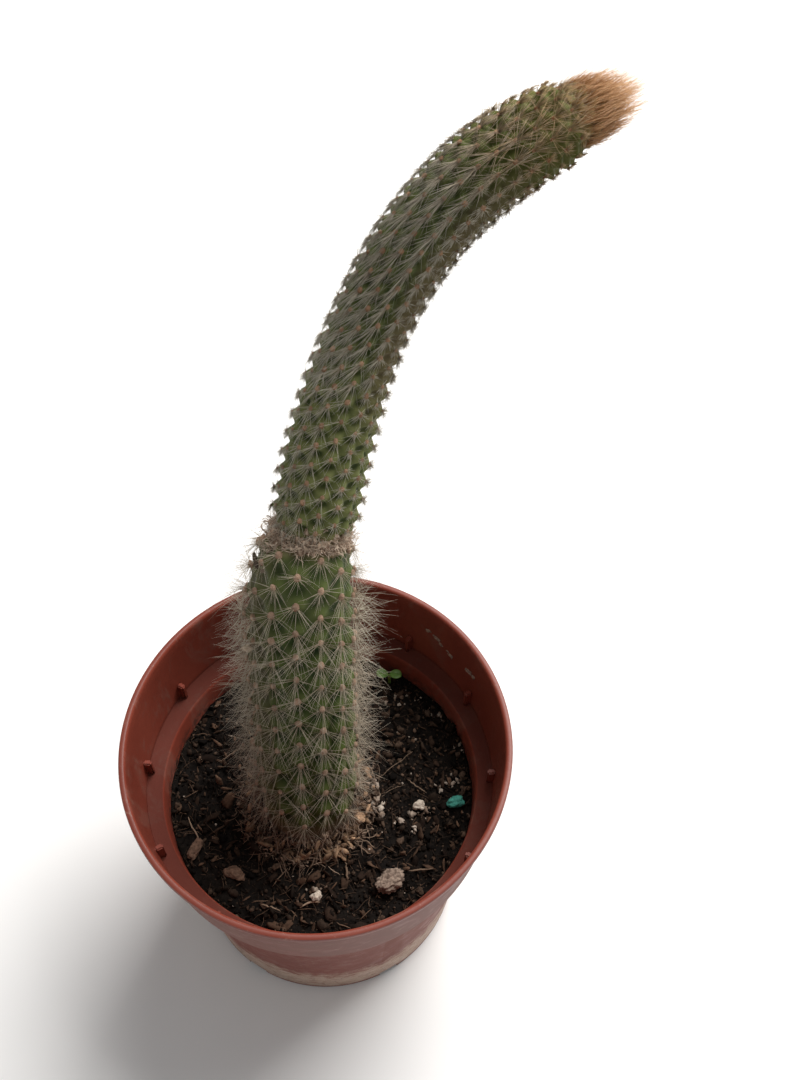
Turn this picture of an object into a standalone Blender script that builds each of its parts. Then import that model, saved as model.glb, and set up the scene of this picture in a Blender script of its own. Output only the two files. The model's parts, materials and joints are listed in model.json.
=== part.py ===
"""A monkey tail cactus in a small plastic nursery pot.

The frame has its origin at the centre of the pot's underside, on the table, with +Z up.
Lengths are in metres. The old stem stands in the mix and leans back, towards +Y. A younger
shoot grows out of its top and arches over to +X.
"""

import math

import bmesh
import bpy
import numpy as np
from mathutils import Matrix, Vector, noise
from mathutils.bvhtree import BVHTree
from mathutils.geometry import interpolate_bezier
from mathutils.kdtree import KDTree

MM = 0.001
GAP = 0.3 * MM
WELD = 0.01 * MM

# Pot
POT_HEIGHT = 77.2 * MM
RIM_RADIUS = 42.5 * MM
LIP_WIDTH = 1.5 * MM
LIP_DEPTH = 1.6 * MM
LIP_ROUND = 0.5 * MM
COLLAR_DEPTH = 22.9 * MM
COLLAR_FOOT_RADIUS = 39.8 * MM
LEDGE_DEPTH = 19.4 * MM
LEDGE_OUTER_RADIUS = 39.4 * MM
LEDGE_INNER_RADIUS = 36.0 * MM
LEDGE_FALL = 1.2 * MM
BASE_RADIUS = 33.3 * MM
WALL = 0.95 * MM
FLOOR = 1.2 * MM
POT_STEPS = 40
RIB_COUNT = 12
RIB_SIZE = Vector((1.3, 0.9, 4.4)) * MM
RIB_SUNK = 0.8 * MM
DRAIN_COUNT = 6
DRAIN_RADIUS = 3.2 * MM
DRAIN_CIRCLE = 21.0 * MM
NOTCH_COUNT = 6
NOTCH_WIDTH = 5.0 * MM
NOTCH_HEIGHT = 2.6 * MM
NOTCH_DEPTH = 2.0 * MM

# Potting mix
SOIL_TOP = 49.4 * MM
SOIL_RINGS = 10
SOIL_STEPS = 40
SOIL_ROUGHNESS = 1.1 * MM
SOIL_LUMP = 9.0 * MM
SOIL_CALM_RADIUS = 19.0 * MM
SOIL_CALM_BLEND = 8.0 * MM
STEM_HOLE_LENGTH = 40.0 * MM

# Old stem, from its buried foot to its flat top, which the shoot grows from a little to one side
OLD_FOOT = Vector((-3.0, -5.8, 37.0)) * MM
OLD_FOOT_HANDLE = Vector((-2.5, 1.4, 66.1)) * MM
JOINT = Vector((0.2, 19.6, 127.2)) * MM
JOINT_DIRECTION = Vector((0.14, 0.41, 0.90)).normalized()
SIDE_STEP = 1.8 * MM
ACROSS = JOINT_DIRECTION.cross(Vector((0, -1, 0))).normalized()
OLD_TOP = JOINT - SIDE_STEP * ACROSS
OLD_TOP_HANDLE = OLD_TOP - 14.0 * MM * JOINT_DIRECTION
OLD_RIBS = 14
OLD_SPACING = 7.5 * MM
OLD_FIRST_AREOLE = 19.0 * MM
OLD_ROWS = 10
OLD_FOOT_RADIUS = 10.6 * MM
OLD_TOP_RADIUS = 9.7 * MM
OLD_FLAT_RADIUS = 8.8 * MM
OLD_SHOULDER = 6.0 * MM
OLD_RELIEF = 0.85 * MM
OLD_SPINE = 8.6 * MM
OLD_SPINES = 3
OLD_RISE = (34, 64)
OLD_SPREAD = (0.75, 1.1)
# Near the top the spines are short: their least share of the full length, and where it ends
OLD_TOP_SHARE = 0.35
OLD_TOP_STRETCH = 17.0 * MM

# Shoot, from the joint to its blunt end
SHOOT_HANDLE_1 = JOINT + 70.0 * MM * JOINT_DIRECTION
SHOOT_HANDLE_2 = Vector((35.4, 54.0, 191.0)) * MM
SHOOT_END = Vector((50.5, 61.3, 196.1)) * MM
SHOOT_RIBS = 16
SHOOT_SPACING = 3.75 * MM
SHOOT_FIRST_AREOLE = 6.0 * MM
SHOOT_ROWS = 23
SHOOT_RELIEF = 0.5 * MM
SHOOT_SPINE = 3.3 * MM
SHOOT_RISE = (14, 26)
SHOOT_SPREAD = (0.8, 1.15)
SHOOT_TURN = 0.9
NECK_RADIUS = 7.1 * MM
# Distance from the joint and mean radius there, in millimetres: a waist in the middle
SHOOT_GIRTH = (
    (0, 7.1), (4, 7.2), (12, 7.4), (24, 7.0), (44, 6.0), (62, 6.2), (78, 6.6), (88, 6.4), (93, 5.6),
)
TIP_LENGTH = 7.0 * MM
TIP_COLUMNS = 10
TIP_ROWS = (0, 0.3, 0.58, 0.8)
TIP_SPINE = 7.2 * MM
TIP_LEAN = (5, 20)
TIP_SPREAD = (0.85, 1.1)
TIP_BARE = 0.5 * MM

# Spines
NEEDLE_RADIUS = 0.22 * MM
NEEDLE_SUNK = 0.9 * MM

# Wool and litter
WOOL_OUTER_RADIUS = 10.2 * MM
WOOL_HEIGHT = 2.6 * MM
WOOL_STEPS = 18
WOOL_LUMP = 2.5 * MM
WOOL_RISE = (12, 55)
WOOL_SPIKE = (1.6 * MM, 3.0 * MM)
LITTER_OUTER_RADIUS = 17.0 * MM
LITTER_HEIGHT = 2.4 * MM
LITTER_STEPS = 20
LITTER_LUMP = 4.0 * MM
LITTER_RISE = (2, 12)
LITTER_SPIKE = (3.0 * MM, 5.5 * MM)

# Loose pieces on the mix: place, half-sizes and turn about +Z in degrees
PELLET = (Vector((31.4, -3.0, 0)) * MM, Vector((2.1, 1.3, 1.2)) * MM, 10)
CLOD = (Vector((16.6, -22.0, 0)) * MM, Vector((3.0, 2.3, 1.7)) * MM, 35)
CHIPS = (
    ("bark_chip_left", Vector((-28.0, -15.5, 0)) * MM, Vector((2.7, 1.3, 0.6)) * MM, 70),
    ("bark_chip_front", Vector((-18.5, -20.8, 0)) * MM, Vector((2.4, 1.4, 0.5)) * MM, -20),
)
PERLITE = (
    ("perlite_right", Vector((22.8, -4.0, 0)) * MM, Vector((1.3, 1.1, 1.0)) * MM, 15),
    ("perlite_front", Vector((0.3, -25.6, 0)) * MM, Vector((1.2, 1.0, 0.9)) * MM, 50),
)
SEEDLING = Vector((14.9, 28.4, 0)) * MM
SEEDLING_HEIGHT = 4.6 * MM
STALK_RADIUS = 0.45 * MM
SEED_LEAF = Vector((1.7, 1.1, 0.4)) * MM
SEEDLING_HOLE_DEPTH = 3.0 * MM

rng = np.random.default_rng(5)


def clear_scene():
    for obj in list(bpy.data.objects):
        bpy.data.objects.remove(obj)


def new_collection(name, parent=None):
    collection = bpy.data.collections.new(name)
    parent = parent or bpy.context.scene.collection
    parent.children.link(collection)
    return collection


def add_object(name, mesh, collection):
    obj = bpy.data.objects.new(name, mesh)
    collection.objects.link(obj)
    return obj


def add_material(obj, colour, roughness):
    material = bpy.data.materials.new(obj.name)
    material.use_nodes = True
    shader = material.node_tree.nodes["Principled BSDF"]
    shader.inputs["Base Color"].default_value = (*colour, 1)
    shader.inputs["Roughness"].default_value = roughness
    shader.inputs["Metallic"].default_value = 0
    obj.data.materials.clear()
    obj.data.materials.append(material)


def mesh_from(bm, name):
    bmesh.ops.recalc_face_normals(bm, faces=bm.faces)
    mesh = bpy.data.meshes.new(name)
    bm.to_mesh(mesh)
    bm.free()
    return mesh


def apply_modifiers(obj):
    graph = bpy.context.evaluated_depsgraph_get()
    mesh = bpy.data.meshes.new_from_object(obj.evaluated_get(graph))
    old = obj.data
    obj.modifiers.clear()
    obj.data = mesh
    bpy.data.meshes.remove(old)


def turned(name, profile, steps, collection):
    """A profile of (radius, height) points, turned about Z, running down its outer side."""
    mesh = bpy.data.meshes.new(name)
    points = [(r, 0, z) for r, z in profile]
    mesh.from_pydata(points, [(i, i + 1) for i in range(len(points) - 1)], [])
    obj = add_object(name, mesh, collection)
    screw = obj.modifiers.new("Turn", "SCREW")
    screw.axis = "Z"
    screw.steps = steps
    screw.render_steps = steps
    screw.use_merge_vertices = True
    screw.merge_threshold = WELD
    return obj


def add_boolean(obj, operation, collection, solver="EXACT"):
    boolean = obj.modifiers.new(operation.title(), "BOOLEAN")
    boolean.operation = operation
    boolean.operand_type = "COLLECTION"
    boolean.collection = collection
    boolean.solver = solver


def join_repeats(obj, repeats):
    """Unites a collection's objects with obj, then drops the collection."""
    add_boolean(obj, "UNION", repeats, "MANIFOLD")
    apply_modifiers(obj)
    for repeat in list(repeats.objects):
        bpy.data.objects.remove(repeat)
    bpy.data.collections.remove(repeats)


def as_guides(collection):
    for obj in collection.objects:
        obj.hide_render = True
        obj.display_type = "WIRE"


def keep_largest(obj):
    """Drops any scrap that the union left loose."""
    bm = bmesh.new()
    bm.from_mesh(obj.data)
    left = set(bm.verts)
    bodies = []
    while left:
        stack = [left.pop()]
        body = set(stack)
        while stack:
            for edge in stack.pop().link_edges:
                for vert in edge.verts:
                    if vert in left:
                        left.discard(vert)
                        body.add(vert)
                        stack.append(vert)
        bodies.append(body)
    bodies.sort(key=len)
    scraps = [vert for body in bodies[:-1] for vert in body]
    bmesh.ops.delete(bm, geom=scraps, context="VERTS")
    bm.to_mesh(obj.data)
    bm.free()


class Path:
    """A smooth curve with a frame that doesn't twist, read by the distance along it."""

    def __init__(self, start, handle_1, handle_2, end, samples=200):
        self.points = interpolate_bezier(start, handle_1, handle_2, end, samples)
        self.tangents = []
        self.lengths = [0.0]
        for a, b in zip(self.points, self.points[1:]):
            self.tangents.append((b - a).normalized())
            self.lengths.append(self.lengths[-1] + (b - a).length)
        self.tangents.append(self.tangents[-1])
        self.length = self.lengths[-1]
        first = self.tangents[0]
        side = Vector((0, -1, 0))
        side = (side - side.dot(first) * first).normalized()
        self.sides = [side]
        for a, b in zip(self.tangents, self.tangents[1:]):
            side = (a.rotation_difference(b) @ side).normalized()
            self.sides.append(side)

    def frame(self, distance):
        """Point, tangent and the two directions across it at a distance along the path."""
        index = int(np.searchsorted(self.lengths, distance)) - 1
        index = min(max(index, 0), len(self.points) - 2)
        span = self.lengths[index + 1] - self.lengths[index]
        share = (distance - self.lengths[index]) / span
        point = self.points[index].lerp(self.points[index + 1], share)
        tangent = self.tangents[index].lerp(self.tangents[index + 1], share).normalized()
        side = self.sides[index].lerp(self.sides[index + 1], share)
        side = (side - side.dot(tangent) * tangent).normalized()
        return point, tangent, side, tangent.cross(side)


def turn_to(direction):
    """The turn that takes +Z to a direction."""
    return direction.to_track_quat("Z", "Y").to_matrix().to_4x4()


def outward(frame, angle):
    return math.cos(angle) * frame[2] + math.sin(angle) * frame[3]


def tube(name, path, stations, columns, radius, collection):
    """A closed tube: a grid wrapped round the path, welded along its seam and capped."""
    bm = bmesh.new()
    rows = len(stations) - 1
    bmesh.ops.create_grid(bm, x_segments=columns, y_segments=rows, size=1)
    for vert in bm.verts:
        column = round((vert.co.x + 1) / 2 * columns)
        row = round((vert.co.y + 1) / 2 * rows)
        frame = path.frame(stations[row])
        angle = 2 * math.pi * (column % columns) / columns
        vert.co = frame[0] + radius(stations[row], angle) * outward(frame, angle)
    bmesh.ops.remove_doubles(bm, verts=bm.verts, dist=WELD)
    bmesh.ops.holes_fill(bm, edges=[edge for edge in bm.edges if edge.is_boundary])
    bmesh.ops.triangulate(bm, faces=bm.faces, quad_method="SHORT_EDGE")
    return add_object(name, mesh_from(bm, name), collection)


def incentre(face):
    """The middle of a triangle's inscribed circle, which leaves a spine's root the most room."""
    a, b, c = (vert.co for vert in face.verts)
    sides = ((b - c).length, (c - a).length, (a - b).length)
    return (sides[0] * a + sides[1] * b + sides[2] * c) / sum(sides)


class Areoles:
    """Finds, beside an areole of a stem, the face that lies the way a spine heads."""

    def __init__(self, obj):
        self.bm = bmesh.new()
        self.bm.from_mesh(obj.data)
        self.bm.verts.ensure_lookup_table()
        self.tree = KDTree(len(self.bm.verts))
        for index, vert in enumerate(self.bm.verts):
            self.tree.insert(vert.co, index)
        self.tree.balance()

    def root(self, peak, direction):
        vert = self.bm.verts[self.tree.find(peak)[1]]

        def match(face):
            return (incentre(face) - vert.co).normalized().dot(direction)

        return incentre(max(vert.link_faces, key=match))


def needle_mesh():
    """A three-sided spike of unit radius and length along +Z, shared by all the spines."""
    bm = bmesh.new()
    bmesh.ops.create_cone(bm, cap_ends=True, segments=3, radius1=1, radius2=0, depth=1)
    bmesh.ops.translate(bm, verts=bm.verts, vec=(0, 0, 0.5))
    return mesh_from(bm, "needle")


def add_needle(mesh, root, direction, length, collection):
    obj = add_object("needle", mesh, collection)
    start = root - NEEDLE_SUNK * direction
    size = Matrix.Diagonal((NEEDLE_RADIUS, NEEDLE_RADIUS, length + NEEDLE_SUNK, 1))
    obj.matrix_world = Matrix.Translation(start) @ turn_to(direction) @ size


def pot_inner_radius(height):
    """Radius of the inner wall below the ledge."""
    top = POT_HEIGHT - LEDGE_DEPTH - LEDGE_FALL
    share = (height - FLOOR) / (top - FLOOR)
    foot = BASE_RADIUS - WALL
    return foot + share * (LEDGE_INNER_RADIUS - foot)


def make_pot(parts, cutters):
    lip_inner = RIM_RADIUS - LIP_WIDTH
    collar_top = RIM_RADIUS - LIP_ROUND
    ledge = POT_HEIGHT - LEDGE_DEPTH
    skirt = POT_HEIGHT - COLLAR_DEPTH
    underside = ledge - LEDGE_FALL - 1.1 * WALL
    inner_foot = BASE_RADIUS - WALL
    profile = [
        (0, FLOOR),
        (inner_foot - WALL, FLOOR),
        (inner_foot, FLOOR + WALL),
        (LEDGE_INNER_RADIUS, ledge - LEDGE_FALL),
        (LEDGE_OUTER_RADIUS, ledge),
        (lip_inner, POT_HEIGHT - LIP_ROUND),
        (lip_inner + LIP_ROUND / 2, POT_HEIGHT),
        (RIM_RADIUS - LIP_ROUND, POT_HEIGHT),
        (RIM_RADIUS, POT_HEIGHT - LIP_ROUND),
        (RIM_RADIUS, POT_HEIGHT - LIP_DEPTH),
        (collar_top, POT_HEIGHT - LIP_DEPTH - LIP_ROUND),
        (COLLAR_FOOT_RADIUS, skirt + LIP_ROUND),
        (COLLAR_FOOT_RADIUS - LIP_ROUND, skirt),
        (COLLAR_FOOT_RADIUS - 1.2 * WALL, skirt),
        (LEDGE_INNER_RADIUS + WALL, underside),
        (BASE_RADIUS, LIP_ROUND),
        (BASE_RADIUS - LIP_ROUND, 0),
        (0, 0),
    ]
    pot = turned("pot", profile, POT_STEPS, parts)
    ribs = new_collection("stacking ribs", cutters)
    drains = new_collection("drain cutters", cutters)
    for index in range(RIB_COUNT):
        angle = 2 * math.pi * index / RIB_COUNT
        rib = add_box(f"rib_{index}", RIB_SIZE, ribs)
        middle = Vector((LEDGE_OUTER_RADIUS, 0, ledge - RIB_SUNK + RIB_SIZE.z / 2))
        rib.matrix_world = Matrix.Rotation(angle, 4, "Z") @ Matrix.Translation(middle)
    for index in range(DRAIN_COUNT):
        angle = 2 * math.pi * (index + 0.5) / DRAIN_COUNT
        place = Vector((DRAIN_CIRCLE, 0, FLOOR / 2))
        drain = add_cylinder(f"drain_{index}", DRAIN_RADIUS, 4 * FLOOR, 12, drains)
        drain.matrix_world = Matrix.Rotation(angle, 4, "Z") @ Matrix.Translation(place)
    for index in range(NOTCH_COUNT):
        angle = 2 * math.pi * index / NOTCH_COUNT
        size = Vector((2 * NOTCH_DEPTH, NOTCH_WIDTH, 2 * NOTCH_HEIGHT))
        notch = add_box(f"notch_{index}", size, drains)
        place = Vector((BASE_RADIUS, 0, 0))
        notch.matrix_world = Matrix.Rotation(angle, 4, "Z") @ Matrix.Translation(place)
    as_guides(ribs)
    as_guides(drains)
    add_boolean(pot, "UNION", ribs)
    add_boolean(pot, "DIFFERENCE", drains)
    add_material(pot, (0.30, 0.075, 0.045), 0.5)
    return pot


def add_box(name, size, collection):
    bm = bmesh.new()
    bmesh.ops.create_cube(bm, size=1)
    bmesh.ops.scale(bm, verts=bm.verts, vec=size)
    return add_object(name, mesh_from(bm, name), collection)


def add_cylinder(name, radius, height, segments, collection):
    bm = bmesh.new()
    bmesh.ops.create_cone(
        bm, cap_ends=True, segments=segments, radius1=radius, radius2=radius, depth=height
    )
    return add_object(name, mesh_from(bm, name), collection)


def soil_height(x, y):
    """Uneven mix, calmer round the stem."""
    spread = math.hypot(x - OLD_FOOT.x, y)
    calm = min(max((spread - SOIL_CALM_RADIUS) / SOIL_CALM_BLEND, 0), 1)
    lumps = noise.fractal(Vector((x, y, 0)) / SOIL_LUMP, 0.6, 2.0, 3)
    return SOIL_TOP + calm * SOIL_ROUGHNESS * lumps


def make_soil(old_path, parts, cutters):
    edge = pot_inner_radius(SOIL_TOP) - GAP
    bottom = FLOOR + GAP
    foot = pot_inner_radius(bottom + WALL) - GAP
    rings = [(edge * ring / SOIL_RINGS, SOIL_TOP) for ring in range(SOIL_RINGS + 1)]
    profile = rings + [(foot, bottom + WALL), (foot - WALL, bottom), (0, bottom)]
    soil = turned("potting_mix", profile, SOIL_STEPS, parts)
    apply_modifiers(soil)
    for vert in soil.data.vertices:
        if vert.co.z > SOIL_TOP - GAP:
            vert.co.z = soil_height(vert.co.x, vert.co.y)
            wall = pot_inner_radius(vert.co.z) - GAP
            spread = math.hypot(vert.co.x, vert.co.y)
            if spread > wall:
                vert.co.x *= wall / spread
                vert.co.y *= wall / spread
    holes = new_collection("soil holes", cutters)
    point, tangent, _, _ = old_path.frame(0)
    plug = add_cylinder("stem_hole", OLD_FOOT_RADIUS + 2 * GAP, STEM_HOLE_LENGTH, 2 * OLD_RIBS, holes)
    middle = point + (STEM_HOLE_LENGTH / 2 - GAP) * tangent
    plug.matrix_world = Matrix.Translation(middle) @ turn_to(tangent)
    root = add_cylinder("seedling_hole", STALK_RADIUS + GAP, 4 * SEEDLING_HOLE_DEPTH, 8, holes)
    hole_middle = SOIL_TOP + SEEDLING_HOLE_DEPTH - GAP
    root.matrix_world = Matrix.Translation((SEEDLING.x, SEEDLING.y, hole_middle))
    as_guides(holes)
    add_boolean(soil, "DIFFERENCE", holes)
    add_material(soil, (0.025, 0.019, 0.016), 0.95)
    return soil


def old_radius(distance, angle, length):
    """Mean radius with the tubercles as a diamond wave, calm at both ends."""
    mean = OLD_FOOT_RADIUS + distance / length * (OLD_TOP_RADIUS - OLD_FOOT_RADIUS)
    shoulder = max(1 - (length - distance) / OLD_SHOULDER, 0)
    mean += (OLD_FLAT_RADIUS - mean) * (1 - math.sqrt(max(1 - shoulder**2, 0)))
    if distance < OLD_FIRST_AREOLE - OLD_SPACING / 4:
        return mean
    wave = math.cos(OLD_RIBS / 2 * angle)
    along = math.cos(2 * math.pi * (distance - OLD_FIRST_AREOLE) / OLD_SPACING)
    return mean + OLD_RELIEF * (1 - shoulder**2) * wave * along


def shoot_radius(distance, angle):
    stations, girths = zip(*SHOOT_GIRTH)
    mean = float(np.interp(distance / MM, stations, girths)) * MM
    last = SHOOT_FIRST_AREOLE + SHOOT_ROWS * SHOOT_SPACING
    if distance < SHOOT_FIRST_AREOLE - SHOOT_SPACING / 4 or distance > last:
        return mean
    wave = math.cos(SHOOT_RIBS / 2 * angle)
    along = math.cos(2 * math.pi * (distance - SHOOT_FIRST_AREOLE) / SHOOT_SPACING)
    return mean + SHOOT_RELIEF * wave * along


def areoles(ribs, first, spacing, rows):
    """(distance, angle) of each areole, neighbouring ribs half a spacing apart."""
    for rib in range(ribs):
        shift = 0.5 * (rib % 2)
        for row in range(rows):
            yield first + (row + shift) * spacing, 2 * math.pi * rib / ribs


def spine_direction(frame, angle, heading, rise):
    """A direction that rises from the surface, heading round the areole from the tip's way."""
    out = outward(frame, angle)
    across = frame[1].cross(out)
    flat = math.cos(heading) * frame[1] + math.sin(heading) * across
    return (math.cos(rise) * flat + math.sin(rise) * out).normalized()


def make_old_stem(path, mesh, parts):
    half = OLD_SPACING / 2
    stations = [0, OLD_FIRST_AREOLE - OLD_SPACING]
    stations += [OLD_FIRST_AREOLE + half * row for row in range(-1, 2 * OLD_ROWS)]
    stations += [path.length - 0.35 * OLD_SHOULDER, path.length]
    stations.sort()

    def radius(distance, angle):
        return old_radius(distance, angle, path.length)

    stem = tube("old_stem", path, stations, 2 * OLD_RIBS, radius, parts)
    needles = new_collection("old spines")
    places = Areoles(stem)
    top = JOINT - GAP * JOINT_DIRECTION
    lowest = SOIL_TOP + LITTER_HEIGHT + 3 * MM
    for distance, angle in areoles(OLD_RIBS, OLD_FIRST_AREOLE, OLD_SPACING, OLD_ROWS):
        frame = path.frame(distance)
        peak = frame[0] + radius(distance, angle) * outward(frame, angle)
        start = rng.uniform(0, 2 * math.pi)
        for index in range(OLD_SPINES):
            heading = start + 2 * math.pi * (index + rng.uniform(-0.15, 0.15)) / OLD_SPINES
            rise = math.radians(rng.uniform(*OLD_RISE))
            full = min(max((path.length - distance) / OLD_TOP_STRETCH, OLD_TOP_SHARE), 1)
            length = full * OLD_SPINE * rng.uniform(*OLD_SPREAD)
            direction = spine_direction(frame, angle, heading, rise)
            tip = peak + length * direction
            if tip.z < lowest or (tip - top).dot(JOINT_DIRECTION) > -GAP:
                heading += math.pi
                direction = spine_direction(frame, angle, heading, rise)
            add_needle(mesh, places.root(peak, direction), direction, length, needles)
    join_repeats(stem, needles)
    keep_largest(stem)
    add_material(stem, (0.085, 0.15, 0.045), 0.6)
    return stem


def make_shoot(path, mesh, parts):
    half = SHOOT_SPACING / 2
    end = SHOOT_GIRTH[-1][0] * MM
    stations = [GAP, 2 * MM, SHOOT_FIRST_AREOLE - SHOOT_SPACING]
    stations += [SHOOT_FIRST_AREOLE + half * row for row in range(-1, 2 * SHOOT_ROWS + 1)]
    stations = [station for station in stations if station < end - 0.4 * half] + [end]

    stem = tube("shoot", path, stations, SHOOT_RIBS, shoot_radius, parts)
    needles = new_collection("shoot spines")
    places = Areoles(stem)
    for distance, angle in areoles(SHOOT_RIBS, SHOOT_FIRST_AREOLE, SHOOT_SPACING, SHOOT_ROWS):
        room = end - distance - 2 * GAP
        if room < half / 2:
            continue
        frame = path.frame(distance)
        out = outward(frame, angle)
        peak = frame[0] + shoot_radius(distance, angle) * out
        heading = rng.uniform(-SHOOT_TURN, SHOOT_TURN)
        length = SHOOT_SPINE * rng.uniform(*SHOOT_SPREAD)
        rise = math.radians(rng.uniform(*SHOOT_RISE))
        if length * math.cos(rise) > room:
            rise = math.acos(room / length)
        direction = spine_direction(frame, angle, heading, rise)
        add_needle(mesh, places.root(peak, direction), direction, length, needles)
    join_repeats(stem, needles)
    keep_largest(stem)
    add_material(stem, (0.10, 0.13, 0.07), 0.65)
    return stem


def make_tip(path, mesh, parts):
    """The growing point: a blunt dome with a brush of soft spines, all in front of the shoot."""
    start = SHOOT_GIRTH[-1][0] * MM + GAP
    girth = SHOOT_GIRTH[-1][1] * MM - GAP
    point, tangent, _, _ = path.frame(start)
    third = TIP_LENGTH / 3 * tangent
    axis = Path(point, point + third, point + 2 * third, point + 3 * third)

    def radius(distance, angle):
        return girth * math.sqrt(1 - (distance / TIP_LENGTH) ** 2)

    stations = [share * TIP_LENGTH for share in TIP_ROWS]
    dome = tube("shoot_tip", axis, stations, TIP_COLUMNS, radius, parts)
    needles = new_collection("tip spines")
    bm = bmesh.new()
    bm.from_mesh(dome.data)
    for face in bm.faces:
        root = incentre(face)
        along = (root - point).dot(tangent)
        if along < TIP_BARE or face.normal.dot(tangent) > 0.99:
            continue
        share = along / TIP_LENGTH
        out = (root - point - along * tangent).normalized()
        lean = (1 - share) * math.radians(rng.uniform(*TIP_LEAN))
        direction = (math.cos(lean) * tangent + math.sin(lean) * out).normalized()
        length = TIP_SPINE * (1 - 0.45 * share) * rng.uniform(*TIP_SPREAD)
        add_needle(mesh, root, direction, length, needles)
    bm.free()
    end = point + TIP_ROWS[-1] * TIP_LENGTH * tangent
    add_needle(mesh, end, tangent, 0.6 * TIP_SPINE, needles)
    join_repeats(dome, needles)
    keep_largest(dome)
    add_material(dome, (0.42, 0.22, 0.10), 0.7)
    return dome


def add_spikes(obj, mesh, least, rises, lengths):
    """Spikes out of a ring round Z, where its faces look outwards by at least a share."""
    bm = bmesh.new()
    bm.from_mesh(obj.data)
    bmesh.ops.triangulate(bm, faces=bm.faces)
    bm.to_mesh(obj.data)
    needles = new_collection("spikes")
    for face in bm.faces:
        root = incentre(face)
        out = Vector((root.x, root.y, 0)).normalized()
        if face.normal.dot(out) < least or face.normal.z < -0.2:
            continue
        rise = math.radians(rng.uniform(*rises))
        direction = math.cos(rise) * out + math.sin(rise) * Vector((0, 0, 1))
        add_needle(mesh, root, direction, rng.uniform(*lengths), needles)
    bm.free()
    join_repeats(obj, needles)
    keep_largest(obj)


def make_joint_wool(mesh, parts, cutters):
    """Matted wool on the old stem's top, cut clear of the shoot's neck."""
    inner = NECK_RADIUS - 2 * SIDE_STEP
    outer = WOOL_OUTER_RADIUS
    low = GAP
    high = WOOL_HEIGHT
    middle = (inner + outer) / 2
    profile = [
        (inner, low), (inner, 0.7 * high), (middle, high), (outer, 0.6 * high),
        (outer, 0.25 * high), (middle + 0.7 * (outer - middle), low), (inner, low),
    ]
    wool = turned("joint_wool", profile, WOOL_STEPS, parts)
    apply_modifiers(wool)
    bm = bmesh.new()
    bm.from_mesh(wool.data)
    bmesh.ops.remove_doubles(bm, verts=bm.verts, dist=WELD)
    for vert in bm.verts:
        spread = math.hypot(vert.co.x, vert.co.y)
        if spread > inner + WELD and vert.co.z > low + WELD:
            bump = 1 + 0.05 * noise.noise(vert.co / WOOL_LUMP)
            vert.co.x *= bump
            vert.co.y *= bump
    old = wool.data
    wool.data = mesh_from(bm, "joint_wool")
    bpy.data.meshes.remove(old)
    add_spikes(wool, mesh, 0.35, WOOL_RISE, WOOL_SPIKE)
    wool.data.transform(Matrix.Translation(OLD_TOP) @ turn_to(JOINT_DIRECTION))
    cut_round(wool, "neck clearance", NECK_RADIUS + 1.5 * GAP, JOINT, JOINT_DIRECTION, cutters)
    add_material(wool, (0.20, 0.13, 0.09), 0.95)
    return wool


def cut_round(obj, name, radius, point, axis, cutters):
    """Cuts obj clear of a stem that runs through it."""
    tools = new_collection(name, cutters)
    tool = add_cylinder(name, radius, 60 * MM, 28, tools)
    tool.matrix_world = Matrix.Translation(point) @ turn_to(axis)
    as_guides(tools)
    add_boolean(obj, "DIFFERENCE", tools)
    apply_modifiers(obj)
    keep_largest(obj)


def make_foot_litter(path, mesh, parts, cutters):
    """Dead wool, spines and roots heaped round the foot, cut clear of the leaning stem."""
    inner = OLD_FOOT_RADIUS - 3 * MM
    outer = LITTER_OUTER_RADIUS
    low = SOIL_TOP + GAP
    high = low + LITTER_HEIGHT
    profile = [
        (inner, low), (inner, high), (inner + 0.5 * (outer - inner), high),
        (outer - 0.2 * (outer - inner), low + 0.55 * LITTER_HEIGHT), (outer, low), (inner, low),
    ]
    litter = turned("foot_litter", profile, LITTER_STEPS, parts)
    apply_modifiers(litter)
    axis = path.frame(13 * MM)[0]
    bm = bmesh.new()
    bm.from_mesh(litter.data)
    bmesh.ops.remove_doubles(bm, verts=bm.verts, dist=WELD)
    for vert in bm.verts:
        if vert.co.z > low + WELD:
            vert.co.z -= LITTER_HEIGHT * 0.4 * (0.5 + 0.5 * noise.noise(vert.co / LITTER_LUMP))
    old = litter.data
    litter.data = mesh_from(bm, "foot_litter")
    bpy.data.meshes.remove(old)
    add_spikes(litter, mesh, 0.2, LITTER_RISE, LITTER_SPIKE)
    litter.data.transform(Matrix.Translation((axis.x, axis.y, 0)))
    point, tangent, _, _ = path.frame(0)
    clearance = OLD_FOOT_RADIUS + OLD_RELIEF + GAP
    cut_round(litter, "stem clearance", clearance, point, tangent, cutters)
    add_material(litter, (0.17, 0.115, 0.08), 0.95)
    return litter


def lump(name, place, half_sizes, turn, roughness, collection):
    """A small rough grain: a coarse ball, dented by noise and squashed."""
    bm = bmesh.new()
    bmesh.ops.create_icosphere(bm, subdivisions=2, radius=1)
    for vert in bm.verts:
        seed = Vector((place.x, place.y, 0)) / MM
        vert.co *= 1 + roughness * noise.noise(1.3 * vert.co + seed)
    bmesh.ops.scale(bm, verts=bm.verts, vec=half_sizes)
    bmesh.ops.rotate(bm, verts=bm.verts, matrix=Matrix.Rotation(math.radians(turn), 3, "Z"))
    bmesh.ops.translate(bm, verts=bm.verts, vec=place + Vector((0, 0, SOIL_TOP + 10 * MM)))
    return add_object(name, mesh_from(bm, name), collection)


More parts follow.
